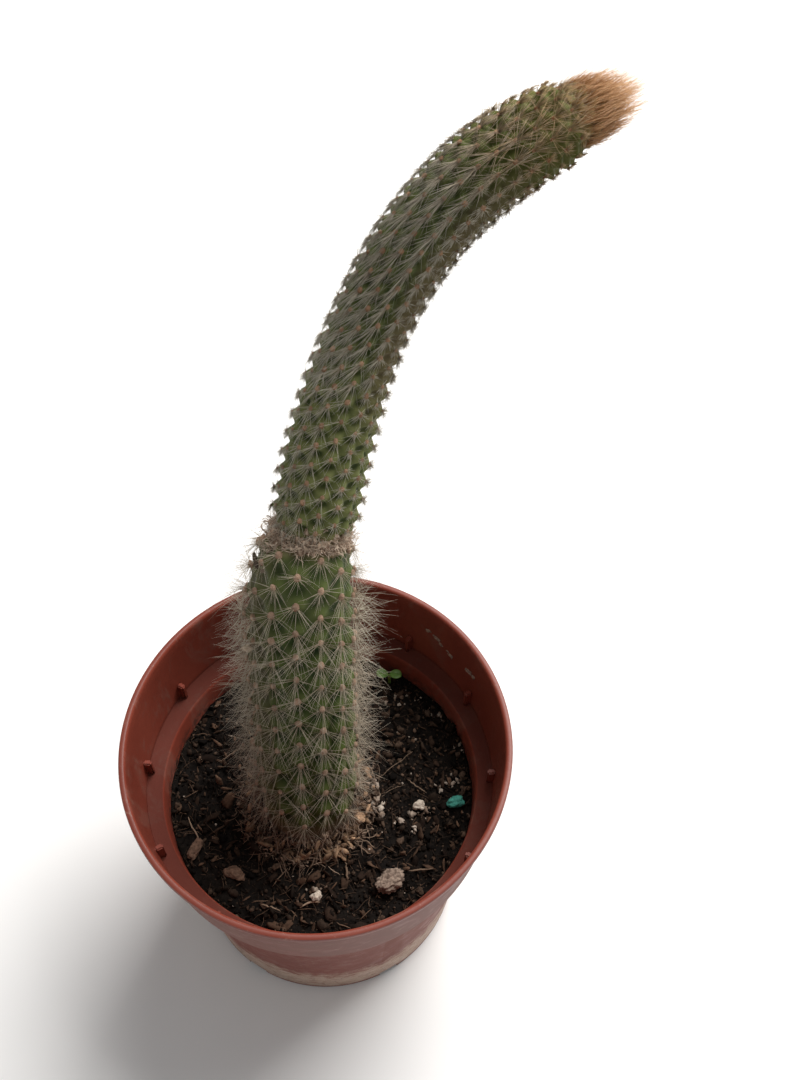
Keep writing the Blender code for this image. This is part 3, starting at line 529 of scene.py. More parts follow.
def make_pot():
    """The pot turned finely, with stacking ribs, drainage holes and notches cut as in the solid."""
    profile = pot_profile()
    angles = TURN * np.arange(POT_STEPS) / POT_STEPS
    bm = bmesh.new()
    rings = []
    for radius, height, _ in profile:
        if radius == 0:
            rings.append([bm.verts.new((0, 0, height))] * POT_STEPS)
        else:
            wave = [0.06 * MM * math.sin(2 * angle + 0.7) if height > 0 else 0 for angle in angles]
            rings.append([
                bm.verts.new(((radius + w) * math.cos(a), (radius + w) * math.sin(a), height))
                for a, w in zip(angles, wave)
            ])
    for index, (low, high) in enumerate(zip(rings, rings[1:])):
        for step in range(POT_STEPS):
            corners = (low[step], low[(step + 1) % POT_STEPS], high[(step + 1) % POT_STEPS], high[step])
            face = bm.faces.new(dict.fromkeys(corners))
            face.material_index = profile[index + 1][2]
            face.smooth = True
    bmesh.ops.recalc_face_normals(bm, faces=bm.faces)
    mesh = bpy.data.meshes.new("pot_body")
    bm.to_mesh(mesh)
    bm.free()
    mesh.materials.append(pot_plastic("pot_inside", False))
    mesh.materials.append(pot_plastic("pot_outside", True))
    pot = bpy.data.objects.new("pot_body", mesh)
    bpy.context.scene.collection.objects.link(pot)
    tools = bpy.data.collections.new("pot tools")
    ribs = bpy.data.collections.new("pot ribs")
    for index in range(RIB_COUNT):
        turn = Matrix.Rotation(TURN * index / RIB_COUNT, 4, "Z")
        middle = (LEDGE_OUTER_RADIUS - 0.4 * MM, 0, POT_HEIGHT - LEDGE_DEPTH - 0.8 * MM + RIB_SIZE[2] / 2)
        add_block(f"rib_{index}", RIB_SIZE, turn @ Matrix.Translation(middle), ribs, 0.3 * MM)
    for index in range(NOTCH_COUNT):
        turn = Matrix.Rotation(TURN * index / NOTCH_COUNT, 4, "Z")
        size = np.array((4 * MM, NOTCH_WIDTH, 2 * NOTCH_HEIGHT))
        add_block(f"notch_{index}", size, turn @ Matrix.Translation((BASE_RADIUS, 0, 0)), tools, 0.4 * MM)
    for index in range(DRAIN_COUNT):
        turn = Matrix.Rotation(TURN * (index + 0.5) / DRAIN_COUNT, 4, "Z")
        bm = bmesh.new()
        bmesh.ops.create_cone(
            bm, cap_ends=True, segments=32, radius1=DRAIN_RADIUS, radius2=DRAIN_RADIUS, depth=4 * FLOOR
        )
        mesh = bpy.data.meshes.new(f"drain_{index}")
        bm.to_mesh(mesh)
        bm.free()
        drain = bpy.data.objects.new(mesh.name, mesh)
        drain.matrix_world = turn @ Matrix.Translation((DRAIN_CIRCLE, 0, 0))
        tools.objects.link(drain)
    for operation, collection in (("UNION", ribs), ("DIFFERENCE", tools)):
        boolean = pot.modifiers.new(operation, "BOOLEAN")
        boolean.operation = operation
        boolean.operand_type = "COLLECTION"
        boolean.collection = collection
    graph = bpy.context.evaluated_depsgraph_get()
    mesh = bpy.data.meshes.new_from_object(pot.evaluated_get(graph))
    pot.modifiers.clear()
    pot.data = mesh
    for collection in (ribs, tools):
        for obj in list(collection.objects):
            bpy.data.objects.remove(obj)
        bpy.data.collections.remove(collection)
    mesh.shade_smooth()
    mesh.set_sharp_from_angle(angle=math.radians(32))
    dress(pot, ["pot"])


def add_block(name, size, matrix, collection, round_off):
    """A box with its edges bevelled."""
    bm = bmesh.new()
    bmesh.ops.create_cube(bm, size=1)
    bmesh.ops.scale(bm, verts=bm.verts, vec=Vector(size))
    bmesh.ops.bevel(bm, geom=bm.edges[:], offset=round_off, segments=2, affect="EDGES")
    mesh = bpy.data.meshes.new(name)
    bm.to_mesh(mesh)
    bm.free()
    obj = bpy.data.objects.new(name, mesh)
    obj.matrix_world = matrix
    collection.objects.link(obj)


def soil_height(x, y):
    """The mix's surface, as in the part's source."""
    spread = math.hypot(x - OLD_FOOT[0], y)
    calm = min(max((spread - SOIL_CALM_RADIUS) / SOIL_CALM_BLEND, 0), 1)
    rises = noise.fractal(Vector((x, y, 0)) / SOIL_LUMP, 0.6, 2.0, 3)
    return SOIL_TOP + calm * SOIL_ROUGHNESS * rises


def soil_heights(xy):
    """The surface with its clods: the CAD surface and smaller rises on it."""
    flat = np.column_stack((xy, np.zeros(len(xy))))
    base = np.array([soil_height(x, y) for x, y in xy])
    return base + 1.0 * MM * rough_at(flat, 4.2 * MM, 4.0) + 0.35 * MM * rough_at(flat, 1.1 * MM, 9.0)


def soil_spots(count, inner=0.0, outer=SOIL_EDGE, power=0.5):
    """Random places on the mix, clear of the old stem."""
    radius = inner + (outer - inner) * rng.uniform(size=count) ** power
    angle = rng.uniform(0, TURN, count)
    xy = np.stack((radius * np.cos(angle), radius * np.sin(angle)), -1)
    keep = np.ones(count, bool)
    for x, y, clear in CLEARINGS:
        keep &= np.linalg.norm(xy - np.array((x, y)) * MM, axis=1) > clear * MM
    return xy[keep]


def peat(name, dark, light, rough=0.9):
    """Crumbs whose tone runs from dark to light, with fine mottling."""
    shade = Shade(name, rough, Specular_IOR_Level=0.10)
    tone = shade.attribute("tone")
    mottle = shade.noise(0.5 * MM, 5, 0.7)
    colour = shade.mix(tone, dark, light)
    colour = shade.mix(shade.span(mottle, 0.35, 0.75, 0, 0.55), colour, tuple(0.35 * c for c in dark))
    return shade.finish(colour, normal=shade.bump(mottle, 0.15 * MM, 0.8))


def make_soil():
    """The mix: a rough closed surface, then crumbs, flakes and fibres on it."""
    columns, rows = 200, 72
    radius = SOIL_EDGE * (np.arange(1, rows + 1) / rows)
    angle = TURN * np.arange(columns) / columns
    xy = (radius[:, None, None] * np.stack((np.cos(angle), np.sin(angle)), -1)[None]).reshape(-1, 2)
    height = soil_heights(xy)
    top = np.concatenate((xy, height[:, None]), 1)
    low = FLOOR + 0.3 * MM
    foot = np.array([(31.4 * MM * math.cos(a), 31.4 * MM * math.sin(a), low) for a in angle])
    middle = np.array([(0, 0, SOIL_TOP), (0, 0, low)])
    points = np.concatenate((top, foot, middle))
    ring = np.arange(columns)
    after = (ring + 1) % columns
    quads = []
    for row in range(rows):
        quads.append(np.stack((row * columns + ring, (row + 1) * columns + ring,
                               (row + 1) * columns + after, row * columns + after), -1))
    centre = rows * columns + columns
    inside = np.stack((np.full(columns, centre), ring, after), -1)
    under = np.stack((np.full(columns, centre + 1), rows * columns + after, rows * columns + ring), -1)
    shade = Shade("peat_surface", 0.92, Specular_IOR_Level=0.10)
    grain = shade.noise(1.2 * MM, 8, 0.75)
    wide = shade.noise(7 * MM, 3)
    colour = shade.ramp(grain, (0.35, (0.003, 0.0025, 0.002)), (0.58, (0.013, 0.0095, 0.0075)),
                        (0.75, (0.04, 0.028, 0.021)))
    colour = shade.mix(shade.span(wide, 0.35, 0.7, 0, 0.6), colour, (0.005, 0.0042, 0.004))
    surface = shade.finish(colour, normal=shade.bump(grain, 0.6 * MM, 1.0))
    add_piece("potting_mix_surface", points, [np.concatenate(quads), inside, under], [surface],
              ["potting_mix"], "potting_mix")

    for name, count, middle, low, high, level, rough in (
        ("crumbs", 5750, 0.36, 0.14, 0.9, 1, 0.7), ("clods", 500, 0.80, 0.5, 1.6, 2, 0.9),
    ):
        xy = soil_spots(count)
        size = np.clip(middle * rng.lognormal(0, 0.4, len(xy)), low, high) * MM
        shape = rng.uniform(0.3, 1.0, (len(xy), 3)) * size[:, None]
        xy = inside_pot(xy, 0.6 * size)
        places = np.column_stack((xy, soil_heights(xy) + 0.2 * size))
        points, faces, step = lumps(places, shape, level, rough)
        # Painted light: crumbs made lighter towards the back right, where the pot's wall shades the mix.
        tone = np.clip(rng.beta(0.6, 4.2, len(xy)) * (1.5 - 0.55 * lit_share(xy)), 0, 1)
        look = peat("peat_" + name, (0.0030, 0.0022, 0.0019), (0.180, 0.115, 0.080))
        add_piece("potting_mix_" + name, points, faces, [look], ["potting_mix"], "potting_mix", level > 1,
                  tone=per_point(tone, step))

    xy = soil_spots(680, power=0.62)
    size = np.clip(rng.lognormal(-0.25, 0.45, len(xy)), 0.4, 2.0) * MM
    shape = np.stack((size, rng.uniform(0.25, 0.65, len(xy)) * size, 0.14 * size), -1)
    xy = inside_pot(xy, size)
    places = np.column_stack((xy, soil_heights(xy) + 0.4 * MM))
    tilts = flake_turns(len(xy), 0.6)
    points, faces, step = lumps(places, shape, 2, 1.0, turns=tilts)
    # Painted light: flakes a little lighter towards the back right, in the wall's shade.
    tone = np.clip(rng.beta(0.8, 2.2, len(xy)) * (0.85 - 0.1 * lit_share(xy)), 0, 1)
    add_piece("potting_mix_flakes", points, faces, [peat("bark_flakes", (0.010, 0.0060, 0.0045), (0.24, 0.140, 0.090))],
              ["potting_mix"], "potting_mix", False, tone=per_point(tone, step))

    xy = soil_spots(900, power=0.6)
    start = np.column_stack((xy, soil_heights(xy) + 0.45 * MM))
    turn = rng.uniform(0, TURN, len(xy))
    heading = np.stack((np.cos(turn), np.sin(turn), rng.normal(0.05, 0.2, len(xy))), -1)
    lines = wander(start, heading, rng.uniform(1.2, 5.0, len(xy)) * MM, 5, 0.2, (0, 0, -0.05))
    spread = np.linalg.norm(lines[:, :, :2], axis=-1, keepdims=True)
    lines[:, :, :2] *= np.minimum(1, (SOIL_EDGE - 0.2 * MM) / spread)
    points, faces, step = tubes(lines, rng.uniform(0.05, 0.14, len(xy)) * MM)
    # Painted light: fibres lighter towards the front left, where the light falls on the mix.
    tone = np.clip(rng.beta(0.9, 2.0, len(xy)) * (0.35 + 0.5 * lit_share(xy)), 0, 1)
    add_piece("potting_mix_fibres", points, faces, [peat("peat_fibres", (0.014, 0.009, 0.007), (0.24, 0.15, 0.10))],
              ["potting_mix"], "potting_mix", tone=per_point(tone, step))


def lit_share(xy):
    """0 at the back right of the pot, 1 at the front left, where the mix lies in the light; the tones of the crumbs,
    flakes and fibres paint light and shade by it.
    """
    return np.clip((10 * MM - xy[:, 1] - 0.6 * xy[:, 0]) / (34 * MM), 0, 1)


def inside_pot(xy, size):
    """Pulls places that would stick through the pot's wall back inside it."""
    spread = np.linalg.norm(xy, axis=1)
    return xy * np.minimum(1, (SOIL_EDGE - size) / spread)[:, None]


def flake_turns(count, tilt):
    """Turns of flakes that lie nearly flat: any heading, a little tilt."""
    heading = rng.uniform(0, TURN, count)
    lean = rng.normal(0, tilt, (count, 2))
    turns = []
    for angle, (a, b) in zip(heading, lean):
        turns.append(np.array(
            Matrix.Rotation(a, 3, "X") @ Matrix.Rotation(b, 3, "Y") @ Matrix.Rotation(angle, 3, "Z")
        ))
    return np.array(turns)


def stem_grid(middle, tangent, side, cross, radius, angle, lift=0.0):
    """Rings of points round a path, closed at both ends. radius is (rows, columns)."""
    rows, columns = radius.shape
    out = np.cos(angle)[None, :, None] * side[:, None] + np.sin(angle)[None, :, None] * cross[:, None]
    points = middle[:, None] + radius[:, :, None] * out
    low = middle[0]
    high = middle[-1] + lift * tangent[-1]
    row, column = np.meshgrid(np.arange(rows - 1), np.arange(columns), indexing="ij")
    a = (row * columns + column).ravel()
    b = (row * columns + (column + 1) % columns).ravel()
    quads = np.stack((a, b, b + columns, a + columns), -1)
    ring = np.arange(columns)
    after = (ring + 1) % columns
    last = (rows - 1) * columns
    ends = rows * columns
    caps = np.concatenate((
        np.stack((after, ring, np.full(columns, ends)), -1),
        np.stack((last + ring, last + after, np.full(columns, ends + 1)), -1),
    ))
    return np.concatenate((points.reshape(-1, 3), low[None], high[None])), [quads, caps]


def row_at(distance, first, spacing, closing):
    """The row number at a distance; the rows close up a little towards the tip."""
    return (spacing - np.sqrt(spacing**2 - 4 * closing * (distance - first))) / (2 * closing)


def wave(distance, angle, ribs, first, spacing, closing, skew=0.0):
    """1 at the areoles, -1 half way between two on a rib; skew leans the bumps along the stem."""
    turn = TURN * row_at(distance, first, spacing, closing)
    turn = turn + skew * np.sin(turn) * np.sign(np.cos(0.5 * ribs * angle))
    return np.cos(0.5 * ribs * angle) * np.cos(turn)


def areole_places(ribs, rows, first, spacing, closing, end):
    """Distances along the stem and angles round it of the areoles that lie before end."""
    rib, row = (grid.ravel() for grid in np.meshgrid(np.arange(ribs), np.arange(rows), indexing="ij"))
    row = row + 0.5 * (rib % 2)
    distance = first + spacing * row - closing * row**2
    keep = distance < end
    return distance[keep], (TURN * rib / ribs)[keep]


def fans(areoles, who, pull, spread, rises, reach, thick, jitter, comb):
    """Spines of the areoles in who.

    pull aims a fan along the stem, spread opens it sideways, and comb lays all of them one way.
    """
    seat, along, across, out = (part[who] for part in areoles)
    count = len(who)
    turn = rng.uniform(0, TURN, count)
    flat = (np.cos(turn) + pull)[:, None] * along + spread * np.sin(turn)[:, None] * across
    rise = np.radians(rng.uniform(*rises, count))
    direction = np.cos(rise)[:, None] * unit(flat) + np.sin(rise)[:, None] * out
    lift = np.sum(out * comb, axis=1)
    direction = unit(direction + comb - (lift - 0.2 * np.maximum(lift, 0))[:, None] * out)
    root = seat + rng.normal(0, jitter, (count, 3))
    return root, direction, MM * rng.uniform(*reach, count), MM * rng.uniform(*thick, count)


def old_radius(distance, angle):
    """The old stem's radius, as in the part's source."""
    mean = OLD_FOOT_RADIUS + (OLD_TOP_RADIUS - OLD_FOOT_RADIUS) * distance / OLD.length
    shoulder = np.clip(1 - (OLD.length - distance) / OLD_SHOULDER, 0, 1)
    mean = mean + (OLD_FLAT_RADIUS - mean) * (1 - np.sqrt(1 - shoulder**2))
    ripple = wave(distance, angle, OLD_RIBS, OLD_FIRST_AREOLE, OLD_SPACING, OLD_CLOSING)
    starts = smooth_step(OLD_FIRST_AREOLE - 0.5 * OLD_SPACING, OLD_FIRST_AREOLE, distance)
    peak = 0.5 + 0.5 * ripple
    flatter = 1 - 0.3 * smooth_step(OLD.length - 22 * MM, OLD.length - 4 * MM, distance)
    slope = smooth_step(OLD.length - 14 * MM, OLD.length - MM, distance)
    mean = mean - 1.9 * MM * slope * np.clip(-np.sin(angle), 0, 1) ** 2
    return mean + MM * (2.1 * peak**1.25 - 0.95) * starts * flatter, ripple * starts


def shoot_radius(distance, angle):
    girth = np.array(SHOOT_GIRTH) * MM
    mean = np.interp(distance, girth[:, 0], girth[:, 1])
    ripple = wave(distance, angle, SHOOT_RIBS, SHOOT_FIRST_AREOLE, SHOOT_SPACING, SHOOT_CLOSING, -0.45)
    inside = smooth_step(3 * MM, 6 * MM, distance) * (1 - smooth_step(TIP_START - 2 * MM, TIP_START, distance))
    peak = 0.5 + 0.5 * ripple
    return mean + MM * (1.6 * peak**1.3 - 0.55) * inside, ripple * inside


OLD = Path(OLD_FOOT, OLD_FOOT_HANDLE, OLD_TOP_HANDLE, OLD_TOP)
SHOOT = Path(JOINT, SHOOT_HANDLE_1, SHOOT_HANDLE_2, SHOOT_END)


def skin(name, high, low, foot, dry, fresh):
    """Green flesh: paler on the tubercles, with painted shade darkening the hollows, and fine dull wrinkles."""
    shade = Shade(name, 0.6, Specular_IOR_Level=0.15)
    rise = shade.attribute("rise")
    dryness = shade.attribute("dry")
    fine = shade.noise(0.45 * MM, 5, 0.7)
    wide = shade.noise(4 * MM, 3, 0.6)
    # Painted shade: the colour runs from low in the hollows to high on the tubercles.
    colour = shade.mix(shade.span(rise, 0.15, 0.85), low, high)
    colour = shade.mix(shade.span(wide, 0.35, 0.7, 0, 0.45), colour, foot)
    colour = shade.mix(shade.span(fine, 0.5, 0.75, 0, 0.3), colour, tuple(min(1, 1.7 * c) for c in high))
    # The dry colour stands for corky dry skin, and also for painted light and shade on one side of each stem.
    colour = shade.mix(dryness, colour, dry)
    colour = shade.mix(shade.math("MULTIPLY", shade.attribute("young"), 0.85), colour, fresh)
    normal = shade.bump(fine, 0.12 * MM, 0.6)
    normal = shade.bump(wide, 0.5 * MM, 0.3, normal)
    return shade.finish(colour, shade.span(fine, 0.3, 0.7, 0.5, 0.7), normal)


def spine_look(name, root, middle, tip, streak, rough=0.5):
    """Horny spines, tinted along their length, some darker than others."""
    shade = Shade(name, rough, Specular_IOR_Level=0.25)
    along = shade.attribute("along")
    tone = shade.attribute("tone")
    colour = shade.ramp(along, (0.0, root), (0.3, middle), (1.0, tip))
    colour = shade.mix(shade.math("MULTIPLY", shade.attribute("gold"), 0.9), colour, (0.42, 0.25, 0.085))
    colour = shade.mix(shade.math("MULTIPLY", tone, 0.85), colour, streak)
    fine = shade.noise(0.7 * MM, 3, 0.6)
    colour = shade.mix(shade.span(fine, 0.3, 0.7, 0, 0.3), colour, tuple(0.6 * c for c in middle))
    return shade.finish(colour, normal=shade.bump(fine, 0.03 * MM, 0.5))


def wool_look(name, dark, light, size=0.6 * MM, centre=None):
    """Dull felt of matted hairs, tinted with centre where the piece's attribute low is 1."""
    shade = Shade(name, 0.95, Specular_IOR_Level=0.15)
    strands = shade.noise(size, 6, 0.8, shade.stretched(1, 1, 0.4), 1.5)
    wide = shade.noise(2.5 * MM, 3)
    colour = shade.ramp(strands, (0.36, dark), (0.62, light))
    colour = shade.mix(shade.span(wide, 0.35, 0.65, 0.0, 0.5), colour, tuple(0.45 * c for c in dark))
    if centre:
        colour = shade.mix(shade.span(shade.attribute("low"), 0.2, 0.8), colour, centre)
    return shade.finish(colour, normal=shade.bump(strands, 0.35 * MM, 1.0))


def raised_front(distance, angle):
    """How far the old stem's top reaches up at its front."""
    return TOP_TILT * smooth_step(OLD.length - 18 * MM, OLD.length - 0.5 * MM, distance) * np.clip(np.cos(angle), 0, 1)


def make_old_stem():
    columns, rows = OLD_RIBS * 12, 200
    angle = TURN * np.arange(columns) / columns
    distance = np.linspace(0.5 * MM, OLD.length, rows)
    middle, tangent, side, cross = OLD.frame(distance)
    radius, ripple = old_radius(distance[:, None], angle[None])
    points, faces = stem_grid(middle, tangent, side, cross, radius, angle)
    flat = rows * columns
    bumps = 0.16 * MM * rough_at(points, 1.6 * MM, 2.0)
    outward_all = unit(points[:flat].reshape(rows, columns, 3) - middle[:, None]).reshape(-1, 3)
    points[:flat] += bumps[:flat, None] * outward_all
    points[:flat] += raised_front(distance[:, None], angle[None]).reshape(-1, 1) * JOINT_DIRECTION
    rise = np.append(0.5 + 0.5 * ripple.ravel(), (0.5, 0.5))
    near_foot = 1 - smooth_step(12 * MM, 20 * MM, distance)
    near_top = smooth_step(OLD.length - 1.5 * MM, OLD.length, distance)
    # Painted shade: the old stem's left side tinted brown.
    left_side_shade = 0.5 * smooth_step(0.3, 0.95, -np.sin(angle))
    dry = np.append(np.maximum(np.maximum(near_foot, near_top)[:, None], left_side_shade[None]).ravel(), (1, 1))
    fresh = 0.42 * smooth_step(OLD.length - 24 * MM, OLD.length - 6 * MM, distance)
    young = np.append(np.repeat(fresh, columns), (0, 0)) * (0.35 + 0.65 * rise)
    look = skin("old_stem_skin", (0.088, 0.112, 0.030), (0.009, 0.022, 0.0035), (0.042, 0.078, 0.012),
                (0.13, 0.09, 0.055), (0.16, 0.19, 0.07))
    add_piece("old_stem_body", points, faces, [look], ["old_stem"], "old_stem", rise=rise, dry=dry, young=young)

    distance, angle = areole_places(
        OLD_RIBS, OLD_ROWS, OLD_FIRST_AREOLE, OLD_SPACING, OLD_CLOSING, OLD.length + 2.2 * MM
    )
    distance = np.minimum(distance, OLD.length - 0.3 * MM)
    frame_at = OLD.frame(distance)
    out = outward(frame_at, angle)
    along = frame_at[1]
    radius, _ = old_radius(distance, angle)
    seat = frame_at[0] + radius[:, None] * out + raised_front(distance, angle)[:, None] * JOINT_DIRECTION
    add_areoles("old_stem_areoles", seat, along, out, (0.66, 0.80, 0.52), "old_stem",
                (0.40, 0.24, 0.155), (0.72, 0.50, 0.37), (0.22, 0.10, 0.055), 0)

    areoles = (seat, along, np.cross(along, out), out)
    taper = np.clip((OLD.length - distance) / (12 * MM), 0.58, 1)
    near_soil = 0.7 + 0.3 * smooth_step(18 * MM, 36 * MM, distance)
    vigour = rng.uniform(0.80, 1.14, len(seat))
    sets = []
    every = np.arange(len(seat))
    edge = every[(np.abs(out[:, 0]) > 0.55) & (distance < OLD.length - 5 * MM)]
    for near, per_areole, pull, spread, rises, reach, thick in (
        (every, 8, -0.85, 1.25, (4, 30), (6.2, 10.2), (0.046, 0.070)),
        (every, 5, -0.80, 1.1, (25, 62), (6.0, 9.4), (0.040, 0.060)),
        (every, 11, -0.30, 1.2, (6, 80), (4.4, 9.2), (0.022, 0.038)),
        (edge, 6, -0.50, 0.9, (34, 74), (4.4, 9.0), (0.024, 0.038)),
    ):
        who = np.repeat(near, per_areole)
        root, direction, length, radius = fans(
            areoles, who, np.full(len(who), pull), spread, rises, reach, thick, 0.2 * MM, OLD_COMB
        )
        length = length * (taper * near_soil * vigour)[who]
        bend = length[:, None] * (rng.normal(0, 0.06, (len(who), 3)) + np.array((0, 0, -0.07)))
        sets.append((root, direction, length, radius, bend))
    start, direction, length, thick, bend = (np.concatenate(part) for part in zip(*sets))
    points, faces, share, step = spikes(start, direction, length, thick, bend, 3)
    tone = rng.beta(0.8, 2.4, len(start))
    look = spine_look("old_stem_spines", (0.35, 0.26, 0.17), (0.56, 0.49, 0.37), (0.69, 0.61, 0.50), (0.24, 0.16, 0.11))
    add_piece("old_stem_spines", points, faces, [look], ["old_stem"], "old_stem",
              along=share, tone=per_point(tone, step))


def add_areoles(name, seat, along, out, half, node, dark, light, centre, dim):
    """Woolly pads on the tubercles, browner towards the stem's foot and wherever dim is 1."""
    turns = np.stack((np.cross(along, out), along, out), -1)
    size = rng.uniform(0.85, 1.15, (len(seat), 1)) * np.array(half) * MM
    points, faces, step = lumps(seat + 0.06 * MM * out, size, 2, 0.3, turns=turns)
    low = np.maximum(np.tile(np.clip(-ball(2)[0][:, 1], 0, 1), len(seat)), per_point(dim * np.ones(len(seat)), step))
    add_piece(name, points, faces, [wool_look(name, dark, light, 0.25 * MM, centre)], [node], node, low=low)


def make_shoot():
    columns, rows = SHOOT_RIBS * 10, 236
    angle = TURN * np.arange(columns) / columns
    distance = np.linspace(0, TIP_START + 0.6 * MM, rows)
    middle, tangent, side, cross = SHOOT.frame(distance)
    middle[0] -= 0.4 * MM * tangent[0]
    radius, ripple = shoot_radius(distance[:, None], angle[None])
    points, faces = stem_grid(middle, tangent, side, cross, radius, angle)
    flat = rows * columns
    out = unit(points[:flat].reshape(rows, columns, 3) - middle[:, None]).reshape(-1, 3)
    points[:flat] += 0.10 * MM * rough_at(points[:flat], 1.2 * MM, 6.0)[:, None] * out
    shaded_part = smooth_step(28 * MM, 48 * MM, distance) * (1 - smooth_step(78 * MM, 90 * MM, distance))
    rise = np.append(((0.5 + 0.5 * ripple) * (1 - 0.45 * shaded_part[:, None])).ravel(), (0.5, 0.5))
    rightward = np.sum(out.reshape(rows, columns, 3) * unit(np.cross(tangent, FRONT))[:, None], axis=-1)
    # Painted light: the shoot's right side tinted a lighter tan.
    right_side_light = 0.6 * smooth_step(0.3, 0.85, rightward) * smooth_step(20 * MM, 42 * MM, distance)[:, None]
    foot_side = 0.75 * (1 - smooth_step(1 * MM, 7 * MM, distance))[:, None]
    dry = np.append(np.maximum(right_side_light, foot_side).ravel(), (1, 1))
    look = skin("shoot_skin", (0.200, 0.215, 0.080), (0.042, 0.060, 0.015), (0.110, 0.142, 0.040),
                (0.20, 0.14, 0.085), (0.080, 0.088, 0.014))
    young = np.append(np.repeat(smooth_step(68 * MM, 86 * MM, distance), columns), (0, 1))
    add_piece("shoot_body", points, faces, [look], ["shoot"], "shoot", rise=rise, dry=dry, young=young)

    distance, angle = areole_places(
        SHOOT_RIBS, SHOOT_ROWS, SHOOT_FIRST_AREOLE, SHOOT_SPACING, SHOOT_CLOSING, TIP_START - 0.5 * MM
    )
    frame_at = SHOOT.frame(distance)
    out = outward(frame_at, angle)
    along = frame_at[1]
    radius, _ = shoot_radius(distance, angle)
    seat = frame_at[0] + radius[:, None] * out
    brush = smooth_step(76 * MM, 89 * MM, distance)
    turned = np.sum(out * unit(np.cross(along, FRONT)), axis=1)
    pad = ((1 - 0.45 * smooth_step(0.7, 0.97, np.abs(turned))) * (1 - 0.3 * brush))[:, None] * (0.43, 0.52, 0.34)
    add_areoles("shoot_areoles", seat, along, out, pad, "shoot",
                (0.38, 0.20, 0.11), (0.68, 0.45, 0.30), (0.27, 0.125, 0.062),
                np.maximum(0.9 * brush, 0.4 * smooth_step(30 * MM, 50 * MM, distance)))

    areoles = (seat, along, np.cross(along, out), out)
    golden = smooth_step(70 * MM, 86 * MM, distance)
    every = np.arange(len(seat))
    shaded = every[(turned < 0.05) & (out @ FRONT > -0.2) & (brush < 0.5)]
    upper = every[(distance > 36 * MM) & (brush < 0.5)]
    # Painted shade: spines darker on the upper shoot, less so towards its lit right side.
    painted_shade = 0.34 * smooth_step(40 * MM, 60 * MM, distance) * (1 - brush) * (1 - smooth_step(0.1, 0.6, turned))
    narrow = 1 - 0.5 * smooth_step(28 * MM, 48 * MM, distance) * (1 - smooth_step(76 * MM, 86 * MM, distance))
    young = every[brush > 0.05]
    right = every[(turned > 0.3) & (brush < 0.5)]
    left = every[(turned < -0.75) & (brush < 0.5)]
    short = np.maximum(smooth_step(0.25, 0.85, turned), smooth_step(0.62, 0.90, -turned))
    lay = (1.25 - 0.85 * smooth_step(42 * MM, 72 * MM, distance))[:, None] * SHOOT_COMB
    look = spine_look("shoot_spines", (0.40, 0.30, 0.19), (0.62, 0.57, 0.45), (0.78, 0.75, 0.64), (0.12, 0.088, 0.062))
    for name, steps, sets in (
        ("spines", 2, (
            (every, 9, -1.10, 0.95, (4, 26), (2.6, 5.2), (0.036, 0.056), 0.6),
            (shaded, 12, -1.20, 0.55, (5, 22), (3.6, 6.2), (0.036, 0.058), 1.1),
            (upper, 16, -1.20, 0.55, (6, 24), (4.6, 7.4), (0.036, 0.058), 1),
            (young, 34, -1.80, 0.9, (2, 15), (2.6, 5.0), (0.026, 0.050), 0),
        )),
        ("hairs", 1, (
            (every, 12, -0.45, 1.1, (6, 42), (1.0, 2.1), (0.022, 0.036), 0),
            (right, 24, -0.30, 1.5, (5, 60), (1.0, 1.9), (0.044, 0.066), 0),
            (left, 20, -0.60, 1.1, (5, 60), (1.0, 2.1), (0.034, 0.052), 0),
        )),
    ):
        made = []
        for near, per_areole, pull, spread, rises, reach, thick, combed in sets:
            who = np.repeat(near, per_areole)
            toward = 1.0 * (rng.uniform(size=len(who)) < brush[who]) if near is not young else np.ones(len(who))
            root, direction, length, radius = fans(
                areoles, who, pull * (1 - 1.9 * toward), spread * narrow[who, None], rises, reach, thick,
                0.14 * MM, combed * lay[who]
            )
            if name == "spines":
                length = length * (1 - np.where(turned > 0, 0.78, 0.66) * short)[who]
            bend = length[:, None] * (rng.normal(0, 0.05, (len(who), 3)) - 0.12 * out[who])
            made.append((root, direction, length, radius, bend, golden[who], painted_shade[who]))
        start, direction, length, thick, bend, gold, dark = (np.concatenate(part) for part in zip(*made))
        points, faces, share, step = spikes(start, direction, length, thick, bend, steps)
        # The spines' tones take the painted shade on top of their own variation.
        tone = np.clip(rng.beta(0.9, 1.8, len(start)) + dark, 0, 1)
        add_piece("shoot_" + name, points, faces, [look], ["shoot"], "shoot",
                  along=share, tone=per_point(tone, step), gold=per_point(gold, step))


